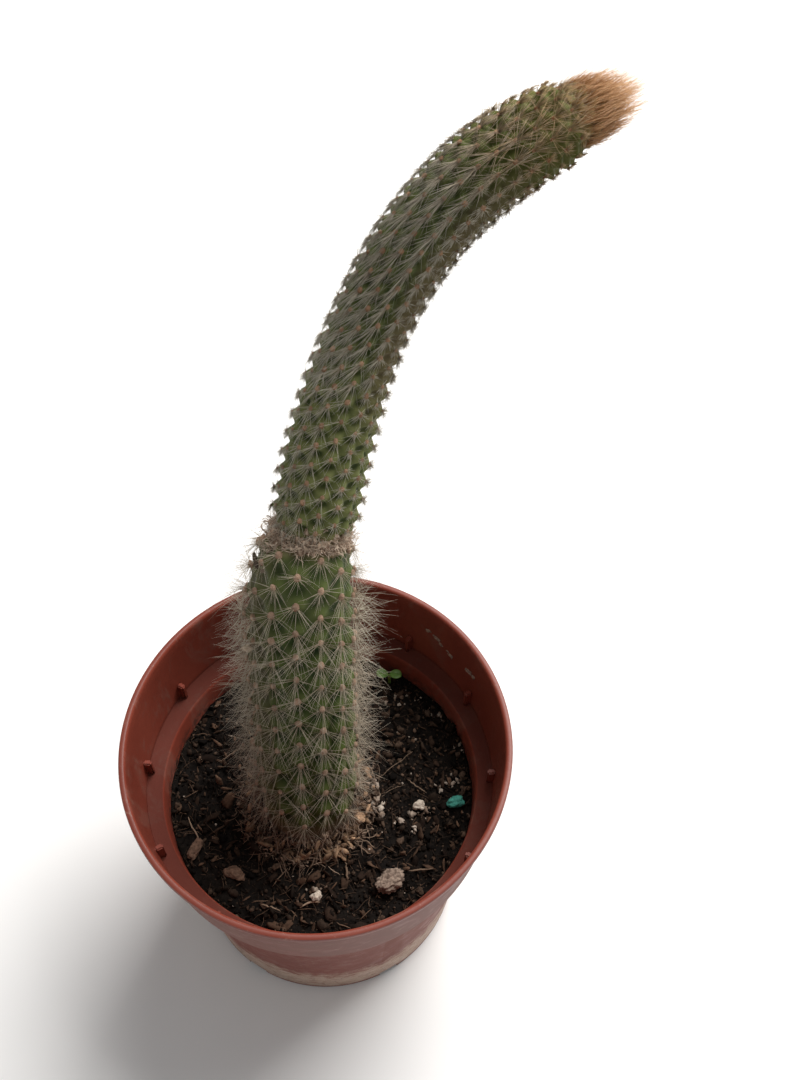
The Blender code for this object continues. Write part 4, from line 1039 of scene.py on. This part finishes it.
def make_tip():
    """The growing point: a dome of young tubercles under a soft brush of spines."""
    middle, tangent, side, cross = (rows[0] for rows in SHOOT.frame(np.array([TIP_START])))
    middle = middle - TIP_SEAT * tangent
    columns, rows = 96, 40
    angle = TURN * np.arange(columns) / columns
    share = np.linspace(0, 1, rows)
    rim = 5.3 * MM
    radius = rim * np.sqrt(np.clip(1 - share**2, 0, 1))[:, None] * np.ones(columns)[None]
    knobs = np.cos(8 * angle)[None] * np.cos(TURN * share * 2.4)[:, None] * (1 - share**2)[:, None]
    radius = np.maximum(radius + 0.35 * MM * knobs, 0.05 * MM)
    centres = middle + (TIP_LENGTH * share)[:, None] * tangent
    spread = [np.tile(row, (rows, 1)) for row in (tangent, side, cross)]
    points, faces = stem_grid(centres, *spread, radius, angle)
    rise = np.append(0.5 + 0.5 * knobs.ravel(), (0.5, 0.5))
    dry = np.zeros(len(points))
    look = skin("tip_skin", (0.17, 0.12, 0.035), (0.06, 0.04, 0.012), (0.16, 0.08, 0.028), (0.2, 0.13, 0.07), (0.2, 0.13, 0.07))
    add_piece("shoot_tip_body", points, faces, [look], ["shoot_tip"], "shoot_tip", rise=rise, dry=dry)

    tufts, per_tuft = 90, 30
    step_up = (np.arange(tufts) + 0.5) / tufts
    spiral = 2.39996 * np.arange(tufts)
    lean = 13 * (1 - step_up) + rng.normal(0, 4, tufts)
    who = np.repeat(np.arange(tufts), per_tuft)
    count = len(who)
    up, turn = step_up[who], spiral[who]
    out = np.cos(turn)[:, None] * side + np.sin(turn)[:, None] * cross
    start = middle + (TIP_LENGTH * up)[:, None] * tangent + (rim * np.sqrt(1 - up**2) * 0.96)[:, None] * out
    start = start + rng.normal(0, 0.28 * MM, (count, 3))
    tilt = np.radians(lean[who] + rng.normal(0, 6, count))
    direction = unit(np.cos(tilt)[:, None] * tangent + np.sin(tilt)[:, None] * out + rng.normal(0, 0.10, (count, 3)))
    length = MM * (rng.uniform(3.2, 8.0, count) * (0.66 + 0.40 * up) + rng.normal(0, 0.6, tufts)[who])
    length = np.clip(length, 2.2 * MM, 9.2 * MM)
    bend = length[:, None] * (rng.normal(0, 0.06, (count, 3)) - 0.24 * (1 - up)[:, None] * out)
    thick = rng.uniform(0.024, 0.050, count) * MM
    points, faces, along, step = spikes(start, direction, length, thick, bend, 2, blunt=0.15)
    tone = np.clip(rng.beta(1.0, 2.2, count) + 0.35 * (1 - up) ** 2, 0, 1)
    look = spine_look("tip_spines", (0.36, 0.15, 0.045), (0.70, 0.40, 0.18), (0.84, 0.58, 0.35), (0.34, 0.14, 0.055))
    add_piece("shoot_tip_spines", points, faces, [look], ["shoot_tip"], "shoot_tip",
              along=along, tone=per_point(tone, step))


def ring_mat(inner, outer, axis, side, cross, heights, columns, rows, rough, seed, ragged, front=0.0, left=0.0):
    """A closed lumpy mat between two circles, each (centre, radius), higher at its inner edge.

    front lifts it at the front, left lowers its outer edge on the left.
    """
    round_it = TURN * np.arange(columns) / columns
    about = TURN * np.arange(rows) / rows
    out = np.cos(round_it)[:, None] * side + np.sin(round_it)[:, None] * cross
    tilt = front * np.clip(np.cos(round_it), 0, 1)[:, None] * axis
    near = inner[0] + inner[1] * out + tilt
    far = outer[0] + outer[1] * out + tilt - left * np.clip(-np.sin(round_it), 0, 1)[:, None] * axis
    size = (1 + ragged * noise_at(far, 3.5 * MM, seed))[:, None]
    reach = (0.5 + 0.5 * np.cos(about))[None] * (0.72 + 0.28 * size)
    height = heights[0] + (heights[1] - heights[0]) * reach**0.7
    lift = height * size * (0.5 + 0.5 * np.sin(about))[None]
    points = near[:, None] + reach[:, :, None] * (far - near)[:, None] + lift[:, :, None] * axis
    points = points.reshape(-1, 3)
    bumps = rough * rough_at(points, 1.5 * MM, seed + 5) * np.tile(0.5 + 0.5 * np.sin(about), columns)
    points = points + bumps[:, None] * axis
    a, b = np.meshgrid(np.arange(columns), np.arange(rows), indexing="ij")
    after, above = (a + 1) % columns, (b + 1) % rows
    quads = np.stack((a * rows + b, after * rows + b, after * rows + above, a * rows + above), -1)
    return points, [quads.reshape(-1, 4)]


def make_joint_wool():
    """Dead wool and spines matted round the joint, on the old stem's shoulder."""
    axis = JOINT_DIRECTION
    side = unit(np.array((0.0, -1.0, 0.0)) - (np.array((0.0, -1.0, 0.0)) @ axis) * axis)
    cross = np.cross(axis, side)
    low, joint = OLD_TOP - 0.5 * MM * axis, JOINT - 0.3 * MM * axis
    low = low + 0.9 * MM * ACROSS
    points, faces = ring_mat((joint, 6.8 * MM), (low, 7.5 * MM), axis, side, cross, (3.0 * MM, 0.8 * MM),
                             180, 30, 1.3 * MM, 3.0, 0.9, TOP_TILT, WOOL_DROP)
    wool = wool_look("dry_wool", (0.15, 0.080, 0.048), (0.92, 0.70, 0.53), 1.1 * MM)
    add_piece("joint_wool_mat", points, faces, [wool], ["joint_wool"], "dry_wool")

    def spots(count, reach):
        """Places on the mat, with the direction outward at each."""
        turn = rng.uniform(0, TURN, count)
        out = np.cos(turn)[:, None] * side + np.sin(turn)[:, None] * cross
        share = rng.uniform(0, reach, (count, 1))
        place = (1 - share) * (joint + 7.1 * MM * out) + share * (low + 7.6 * MM * out)
        place = place + TOP_TILT * np.clip(np.cos(turn), 0, 1)[:, None] * axis
        place = place - WOOL_DROP * share * np.clip(-np.sin(turn), 0, 1)[:, None] * axis
        swell = 1.0 + 0.9 * np.clip(noise_at(place, 3.0 * MM, 7.0), 0, 1)[:, None]
        return place + (3.0 - 2.3 * share) * swell * rng.uniform(0.3, 1.4, (count, 1)) * MM * axis, out

    count = 230
    places, _ = spots(count, 1.05)
    size = rng.uniform(0.35, 1.3, (count, 1)) * rng.uniform(0.35, 1.0, (count, 3)) * MM
    points, faces, _ = lumps(places, size, 2, 0.9)
    add_piece("joint_wool_tufts", points, faces, [wool], ["joint_wool"], "dry_wool")

    look = spine_look("dry_hairs", (0.62, 0.48, 0.37), (0.76, 0.60, 0.46), (0.84, 0.70, 0.57), (0.17, 0.095, 0.055), 0.8)
    for name, count, steps, sides, reach, curl, thick in (
        ("locks", 640, 7, 4, (1.0, 3.4), 1.1, (0.08, 0.20)), ("hairs", 1200, 5, 3, (1.2, 4.4), 0.5, (0.03, 0.065)),
    ):
        start, out = spots(count, 0.95)
        thin = noise_at(start, 2.2 * MM, 4.0) > 0.1 - 0.5 * rng.uniform(size=count)
        start, out = start[thin], out[thin]
        count = len(start)
        heading = (
            out * rng.normal(0.3, 0.6, (count, 1)) + np.cross(axis, out) * rng.normal(0, 0.9, (count, 1))
            + axis * rng.normal(0.5, 0.6, (count, 1))
        )
        lines = wander(start, heading, rng.uniform(*reach, count) * MM, steps, curl)
        points, faces, step = tubes(lines, rng.uniform(*thick, count) * MM, sides)
        add_piece("joint_wool_" + name, points, faces, [look], ["joint_wool"], "dry_wool",
                  along=np.full(len(points), 0.5), tone=per_point(rng.beta(0.6, 2.6, count), step))


def make_foot_litter():
    """Dead tissue, old spines and root fibres heaped round the old stem's foot."""
    middle = OLD.frame(np.array([13.0 * MM]))[0][0]
    centre = np.array((middle[0], middle[1], SOIL_TOP - 0.8 * MM))
    up, side, cross = np.array((0, 0, 1.0)), np.array((0, -1.0, 0)), np.array((1.0, 0, 0))
    points, faces = ring_mat((centre, 10.4 * MM), (centre, 16.2 * MM), up, side, cross, (3.4 * MM, 0.9 * MM),
                             200, 28, 0.9 * MM, 8.0, 0.4)
    # The near-black mat is partly dead tissue and partly painted shade in the gaps between the flaps and spines.
    brown = wool_look("dead_tissue_and_shade", (0.008, 0.0045, 0.0035), (0.075, 0.040, 0.024), 0.9 * MM)
    add_piece("foot_litter_mat", points, faces, [brown], ["foot_litter"], "litter")

    count = 300
    turn = rng.uniform(0, TURN, count)
    reach = rng.uniform(10.8, 15.2, count) * MM
    places = centre + np.stack((reach * np.cos(turn), reach * np.sin(turn), rng.uniform(1.2, 3.2, count) * MM), -1)
    size = np.stack((rng.uniform(0.6, 2.0, count), rng.uniform(0.3, 1.0, count), rng.uniform(0.2, 0.5, count)), -1) * MM
    points, faces, step = lumps(places, size, 2, 0.9, turns=flake_turns(count, 0.9))
    tone = rng.beta(1.0, 1.7, count)
    add_piece("foot_litter_flaps", points, faces, [peat("dead_flaps", (0.020, 0.010, 0.006), (0.58, 0.37, 0.23))],
              ["foot_litter"], "litter", False, tone=per_point(tone, step))

    count = 1200
    turn = rng.uniform(0, TURN, count)
    hangs = rng.uniform(size=count) < 0.22
    reach = np.where(hangs, rng.uniform(10.4, 11.4, count), rng.uniform(10.8, 17.0, count)) * MM
    lift = np.where(hangs, rng.uniform(3.0, 7.5, count), rng.uniform(1.4, 3.4, count)) * MM
    way = np.stack((np.cos(turn), np.sin(turn), np.zeros(count)), -1)
    start = centre + reach[:, None] * way + lift[:, None] * up
    loose = np.stack((rng.normal(0, 1, count), rng.normal(0, 1, count), rng.normal(0, 0.18, count)), -1)
    hanging = way - 0.5 * up + rng.normal(0, 0.35, (count, 3))
    heading = np.where(hangs[:, None], hanging, loose)
    bits = rng.uniform(size=count) < 0.5
    reach = np.where(bits, rng.uniform(0.8, 2.6, count), rng.uniform(1.8, 5.2, count)) * MM
    lines = wander(start, heading, reach, 6, np.where(bits, 0.9, 0.22)[:, None], (0, 0, -0.05))
    lines[:, :, 2] = np.maximum(lines[:, :, 2], SOIL_TOP + 0.25 * MM)
    thick = np.where(bits, rng.uniform(0.09, 0.21, count), rng.uniform(0.045, 0.10, count)) * MM
    points, faces, step = tubes(lines, thick)
    tone = rng.beta(0.9, 0.8, count)
    look = spine_look("dead_spines", (0.30, 0.21, 0.15), (0.36, 0.25, 0.18), (0.42, 0.31, 0.23), (0.026, 0.014, 0.009), 0.8)
    add_piece("foot_litter_spines", points, faces, [look], ["foot_litter"], "litter",
              along=np.full(len(points), 0.5), tone=per_point(tone, step))


def chalk(name, dark, light, size=0.5 * MM, rough=0.9):
    """Dry crumbly matter: two tones in fine noise, with pits that carry painted shade."""
    shade = Shade(name, rough, Specular_IOR_Level=0.25)
    fine = shade.noise(size, 6, 0.75)
    pits = shade.cells(1.6 * size)
    colour = shade.ramp(fine, (0.32, dark), (0.62, light))
    # Painted shade: darker in the pits.
    colour = shade.mix(shade.span(pits, 0.0, 0.35, 0.5, 0), colour, tuple(0.35 * c for c in dark))
    normal = shade.bump(fine, 0.4 * size, 0.8)
    return shade.finish(colour, normal=shade.bump(pits, 0.3 * size, 0.5, normal))


def grain(name, node, slot, middle, half, turn, dents, fine, look, level=4):
    """A loose lump with the form that it has in the solid, and a finer surface on it."""
    base, faces = ball(level)
    seed = np.array((middle[0], middle[1], 0))
    coarse = 1 + dents * np.array([noise.noise(Vector(1.3 * point + seed)) for point in base])
    points = base * (coarse + fine * rough_at(base, 0.32, seed[0]))[:, None] * np.array(half)
    turned = np.array(Matrix.Rotation(math.radians(turn), 3, "Z"))
    points = (points @ turned.T + np.array(middle)) * MM
    return add_piece(name, points, [faces], [look], [node], slot)


def make_loose_pieces():
    """The pellet, the clod, the bark chips and the two perlite grains that are solids."""
    turquoise = chalk("pellet_chalk", (0.022, 0.165, 0.130), (0.075, 0.330, 0.270), 0.7 * MM, 0.75)
    grain("pellet_body", "fertiliser_pellet", "pellet", (31.4, -3.0, 51.5), (2.1, 1.3, 1.2), 10, 0.30, 0.05, turquoise, 5)
    crumbly = chalk("clod_crumb", (0.075, 0.050, 0.038), (0.34, 0.255, 0.20), 1.1 * MM)
    grain("clod_body", "clod", "clod", (16.6, -22.0, 51.8), (3.0, 2.3, 1.7), 35, 0.45, 0.22, crumbly, 5)
    bark = chalk("chip_bark", (0.040, 0.022, 0.015), (0.185, 0.110, 0.074), 0.8 * MM)
    grain("bark_chip_left_body", "bark_chip_left", "bark", (-28.0, -15.5, 50.3), (2.7, 1.3, 0.6), 70, 0.40, 0.16, bark)
    grain("bark_chip_front_body", "bark_chip_front", "bark", (-18.5, -20.8, 50.8), (2.4, 1.4, 0.5), -20, 0.40, 0.16, bark)
    white = chalk("perlite_grit", (0.26, 0.20, 0.155), (0.66, 0.57, 0.48), 0.4 * MM)
    grain("perlite_right_body", "perlite_right", "perlite", (22.8, -4.0, 51.3), (1.3, 1.1, 1.0), 15, 0.45, 0.16, white)
    grain("perlite_front_body", "perlite_front", "perlite", (0.3, -25.6, 50.5), (1.2, 1.0, 0.9), 50, 0.45, 0.16, white)


# Spots on the mix, read off the photograph through the fitted camera: x and y in millimetres
WHITE_SPECKS = (
    (12.6, 31.4), (14.6, 30.9), (16.5, 24.6), (19.0, 25.8), (14.1, 22.9), (18.1, 21.7), (22.0, 24.2),
    (25.0, 20.5), (26.4, 20.0), (27.9, 18.8), (31.6, 12.0), (32.8, 10.2), (13.5, 20.5), (20.9, 13.0),
)
BEIGE_GRAINS = (
    (24.8, -4.8, 1.0), (21.1, -5.8, 0.9), (19.0, -7.6, 0.8), (21.8, -9.0, 0.7), (28.0, 0.5, 0.6),
    (30.6, 1.8, 0.6), (31.8, 3.1, 0.5), (-0.1, -24.0, 0.9),
)
HEAP = ((11.6, 0.8), (12.6, -2.4), (14.3, -5.3))
STRAWS = (
    ((19.9, 2.8), (24.7, -0.4), 0.16), ((11.9, 1.8), (21.0, 9.9), 0.07), ((13.7, -1.2), (19.3, 1.5), 0.07),
    ((-24.6, 5.8), (-20.2, 9.3), 0.10), ((6.5, -17.4), (6.9, -21.5), 0.26), ((7.2, -12.2), (11.9, -15.6), 0.20),
    ((8.6, -11.4), (13.2, -13.9), 0.14), ((20.6, -19.4), (26.0, -18.6), 0.22), ((-30.5, -8.0), (-27.0, -14.0), 0.18),
    ((-12.0, -27.5), (-7.5, -29.0), 0.16), ((-6.5, -19.0), (-9.8, -23.4), 0.12), ((-16.0, 12.0), (-21.0, 16.5), 0.10),
)


def make_loose_grit():
    """Perlite specks, grains, straws and a curled fibre scattered on the mix."""
    xy = [spot for spot in WHITE_SPECKS for _ in range(3)]
    half = [rng.uniform(0.18, 0.42) for _ in xy]
    xy = [(x + rng.normal(0, 0.7), y + rng.normal(0, 0.7)) for x, y in xy]
    for x, y, size in BEIGE_GRAINS:
        xy += [(x, y)] + [(x + rng.normal(0, 0.9), y + rng.normal(0, 0.9)) for _ in range(3)]
        half += [size] + list(rng.uniform(0.25, 0.5, 3))
    for x, y in HEAP:
        xy += [(x + rng.normal(0, 0.8), y + rng.normal(0, 0.9)) for _ in range(9)]
        half += list(rng.uniform(0.35, 0.95, 9))
    for _ in range(60):
        reach, turn = 34 * rng.uniform() ** 0.5, rng.uniform(0, TURN)
        xy.append((reach * math.cos(turn), reach * math.sin(turn)))
        half.append(rng.uniform(0.15, 0.32))
    xy, half = np.array(xy) * MM, np.array(half) * MM
    keep = np.linalg.norm(xy - np.array((-3.0, -3.4)) * MM, axis=1) > 12 * MM
    xy, half = inside_pot(xy[keep], half[keep]), half[keep]
    shape = half[:, None] * rng.uniform(0.45, 1.15, (len(xy), 3))
    places = np.column_stack((xy, soil_heights(xy) + 0.55 * half + 0.25 * MM))
    points, faces, step = lumps(places, shape, 2, 0.95)
    shade = Shade("grit", 0.9, Specular_IOR_Level=0.25)
    fine = shade.noise(0.35 * MM, 5, 0.7)
    colour = shade.mix(shade.attribute("tone"), (0.58, 0.50, 0.42), (0.20, 0.13, 0.09))
    colour = shade.mix(shade.span(fine, 0.3, 0.7, 0.0, 0.6), colour, (0.12, 0.085, 0.065))
    look = shade.finish(colour, normal=shade.bump(fine, 0.12 * MM, 0.9))
    add_piece("perlite_grit", points, faces, [look], ["potting_mix"], "perlite",
              tone=per_point(rng.beta(1.2, 1.6, len(xy)), step))

    lines, radii = [], []
    for (x0, y0), (x1, y1), radius in STRAWS:
        share = np.linspace(0, 1, 9)[:, None]
        line = (1 - share) * np.array((x0, y0)) + share * np.array((x1, y1))
        line = line * MM + rng.normal(0, 0.12 * MM, line.shape)
        height = soil_heights(line[:, :2])
        lift = height.max() + (0.55 + radius) * MM + 0.3 * MM * np.sin(math.pi * share[:, 0])
        lines.append(np.column_stack((line, 0.5 * height + 0.5 * lift + 0.25 * MM)))
        radii.append(radius * MM)
    curl = np.linspace(0, 1, 9)
    curled = np.column_stack((
        (-3.2 + 4.3 * curl) * MM, (-28.1 + 1.5 * curl + 0.5 * np.sin(3.4 * curl)) * MM, np.zeros(9),
    ))
    curled[:, 2] = soil_heights(curled[:, :2]).max() + 0.5 * MM
    lines.append(curled)
    radii.append(0.24 * MM)
    points, faces, step = tubes(np.array(lines), np.array(radii), 6)
    tone = rng.uniform(0.35, 0.95, len(lines))
    tone[-1] = 1.6
    look = peat("dry_straw", (0.07, 0.042, 0.028), (0.34, 0.24, 0.17))
    add_piece("potting_mix_straws", points, faces, [look], ["potting_mix"], "potting_mix",
              tone=per_point(np.clip(tone, 0, 1.4), step))


# Dried dirt on the inner wall and dead flakes, in millimetres, read through the fitted camera
WALL_DIRT = (
    (22.8, 33.4, 69.8), (25.9, 30.9, 69.0), (28.1, 28.7, 66.9), (31.0, 25.5, 66.4), (33.9, 21.9, 69.0), (35.3, 19.4, 68.3),
)
DEAD_FLAKES = (
    ((-12.5, 5.2, 108.6), (1.05, 0.55, 0.95), 1.0), ((-9.6, 12.2, 128.6), (0.4, 0.4, 1.5), 0.12),
    ((-10.4, 15.6, 125.6), (0.4, 0.5, 1.9), 0.15), ((-9.9, 18.2, 122.0), (0.5, 0.4, 1.5), 0.12),
    ((-8.4, 11.0, 128.4), (0.4, 0.3, 0.6), 0.3), ((2.6, 2.5, 92.5), (0.45, 0.3, 0.45), 0.95),
)


def make_dirt_and_flakes():
    """A streak of dried dirt on the pot's inner wall, and dead flakes caught on the old stem."""
    spots = []
    for first, last in zip(WALL_DIRT, WALL_DIRT[1:]):
        for share in rng.choice((0.15, 0.45, 0.8), 2)[rng.integers(2, size=10)] + rng.normal(0, 0.07, 10):
            spots.append((1 - share) * np.array(first) + share * np.array(last) + rng.normal(0, 0.35, 3))
    spots = np.array(spots) * MM
    lip_inner = RIM_RADIUS - LIP_WIDTH
    wall = np.interp(spots[:, 2], (POT_HEIGHT - LEDGE_DEPTH, POT_HEIGHT), (LEDGE_OUTER_RADIUS, lip_inner))
    way = unit(spots[:, :2])
    spots[:, :2] = (wall - 0.05 * MM)[:, None] * way
    size = rng.uniform(0.12, 0.48, (len(spots), 1)) * np.array((1.3, 0.35, 0.8)) * MM
    across = np.column_stack((-way[:, 1], way[:, 0], np.zeros(len(way))))
    out = np.column_stack((way, np.zeros(len(way))))
    turns = np.stack((across, out, np.tile((0, 0, 1.0), (len(way), 1))), -1)
    points, faces, _ = lumps(spots, size, 2, 0.7, turns=turns)
    dirt = chalk("dried_dirt", (0.16, 0.085, 0.065), (0.48, 0.35, 0.28), 0.5 * MM)
    add_piece("pot_dirt", points, faces, [dirt], ["pot"], "pot_plastic")
    places = np.array([flake[0] for flake in DEAD_FLAKES]) * MM
    half = np.array([flake[1] for flake in DEAD_FLAKES]) * MM
    points, faces, step = lumps(places, half, 3, 0.5, turns=np.tile(np.eye(3), (len(places), 1, 1)))
    look = peat("dead_flake", (0.035, 0.022, 0.016), (0.60, 0.48, 0.36))
    add_piece("old_stem_flakes", points, faces, [look], ["old_stem"], "old_stem",
              tone=per_point(np.array([flake[2] for flake in DEAD_FLAKES]), step))


def make_seedling():
    """Two thick seed leaves, each with a shallow fold along its middle, on a short stalk."""
    foot = np.array((14.9, 28.4, 47.4)) * MM
    top = np.array((14.9, 28.4, 54.0)) * MM
    line = np.linspace(foot, top, 12)[None]
    line[0, :, 0] += 0.12 * MM * np.sin(np.linspace(0, 3, 12))
    points, faces, _ = tubes(line, np.array([0.42 * MM]), 12)
    base, ball_faces = ball(5)
    half = np.array((1.5, 1.25, 0.34)) * MM
    for side, tilt in ((-1, 12), (1, 4)):
        leaf = base * half
        share = np.abs(base[:, 1])
        leaf[:, 2] += 0.30 * MM * share**1.5 - 0.12 * MM * np.exp(-((base[:, 1] / 0.12) ** 2))
        leaf[:, 1] *= 1 + 0.12 * base[:, 0] * side
        leaf[:, 0] += side * 1.1 * half[0]
        turned = np.array(Matrix.Rotation(math.radians(-side * tilt), 3, "Y"))
        first = len(points)
        points = np.concatenate((points, leaf @ turned.T + top))
        faces.append(ball_faces + first)
    shade = Shade("seed_leaf", 0.4, Specular_IOR_Level=0.4, Subsurface_Weight=0.12)
    vein = shade.noise(0.6 * MM, 4, 0.6)
    colour = shade.ramp(vein, (0.3, (0.075, 0.16, 0.024)), (0.7, (0.14, 0.28, 0.05)))
    look = shade.finish(colour, normal=shade.bump(vein, 0.08 * MM, 0.6))
    add_piece("seedling_body", points, faces, [look], ["seedling"], "seedling")


def add_camera():
    pitch, roll = math.radians(CAMERA_PITCH), math.radians(CAMERA_ROLL)
    forward = Vector((0, math.cos(pitch), -math.sin(pitch)))
    right = Vector((1, 0, 0))
    down = forward.cross(right)
    right, down = math.cos(roll) * right + math.sin(roll) * down, math.cos(roll) * down - math.sin(roll) * right
    camera = bpy.data.objects.new("camera", bpy.data.cameras.new("camera"))
    camera.matrix_world = Matrix((
        (right.x, -down.x, -forward.x, CAMERA_PLACE.x),
        (right.y, -down.y, -forward.y, CAMERA_PLACE.y),
        (right.z, -down.z, -forward.z, CAMERA_PLACE.z),
        (0, 0, 0, 1),
    ))
    camera.data.lens = CAMERA_LENS
    camera.data.clip_start = 0.01
    bpy.context.scene.collection.objects.link(camera)
    bpy.context.scene.camera = camera


def add_light(name, heading, elevation, distance, size, power, colour=(1, 1, 1)):
    """A soft square light aimed at the plant. heading is in degrees from +X towards +Y."""
    light = bpy.data.lights.new(name, "AREA")
    light.energy = power
    light.size = size
    light.color = colour
    obj = bpy.data.objects.new(name, light)
    a, e = math.radians(heading), math.radians(elevation)
    way = Vector((math.cos(e) * math.cos(a), math.cos(e) * math.sin(a), math.sin(e)))
    target = Vector((0.0, 0.0, 0.08))
    obj.location = target + distance * way
    obj.rotation_euler = way.to_track_quat("Z", "Y").to_euler()
    bpy.context.scene.collection.objects.link(obj)


def make_studio():
    world = bpy.data.worlds.new("studio")
    world.use_nodes = True
    sky = world.node_tree.nodes["Background"]
    sky.inputs["Color"].default_value = (1.0, 0.99, 0.98, 1)
    sky.inputs["Strength"].default_value = 0.34
    bpy.context.scene.world = world
    add_light("key", 54, 54, 0.9, 0.6, 14.0, (1.0, 0.98, 0.95))
    mesh = bpy.data.meshes.new("floor")
    side = 3.0
    mesh.from_pydata([(-side, -side, 0), (side, -side, 0), (side, side, 0), (-side, side, 0)], [], [(0, 1, 2, 3)])
    shade = Shade("floor", 0.9)
    grain = shade.noise(0.05, 3)
    mesh.materials.append(shade.finish(shade.ramp(grain, (0.3, (0.86, 0.86, 0.86)), (0.7, (0.88, 0.88, 0.88)))))
    floor = bpy.data.objects.new("floor", mesh)
    bpy.context.scene.collection.objects.link(floor)
    bpy.context.scene.view_settings.view_transform = "Standard"


add_camera()
make_studio()
make_pot()
make_soil()
make_old_stem()
make_shoot()
make_tip()
make_joint_wool()
make_foot_litter()
make_loose_pieces()
make_loose_grit()
make_seedling()
make_dirt_and_flakes()
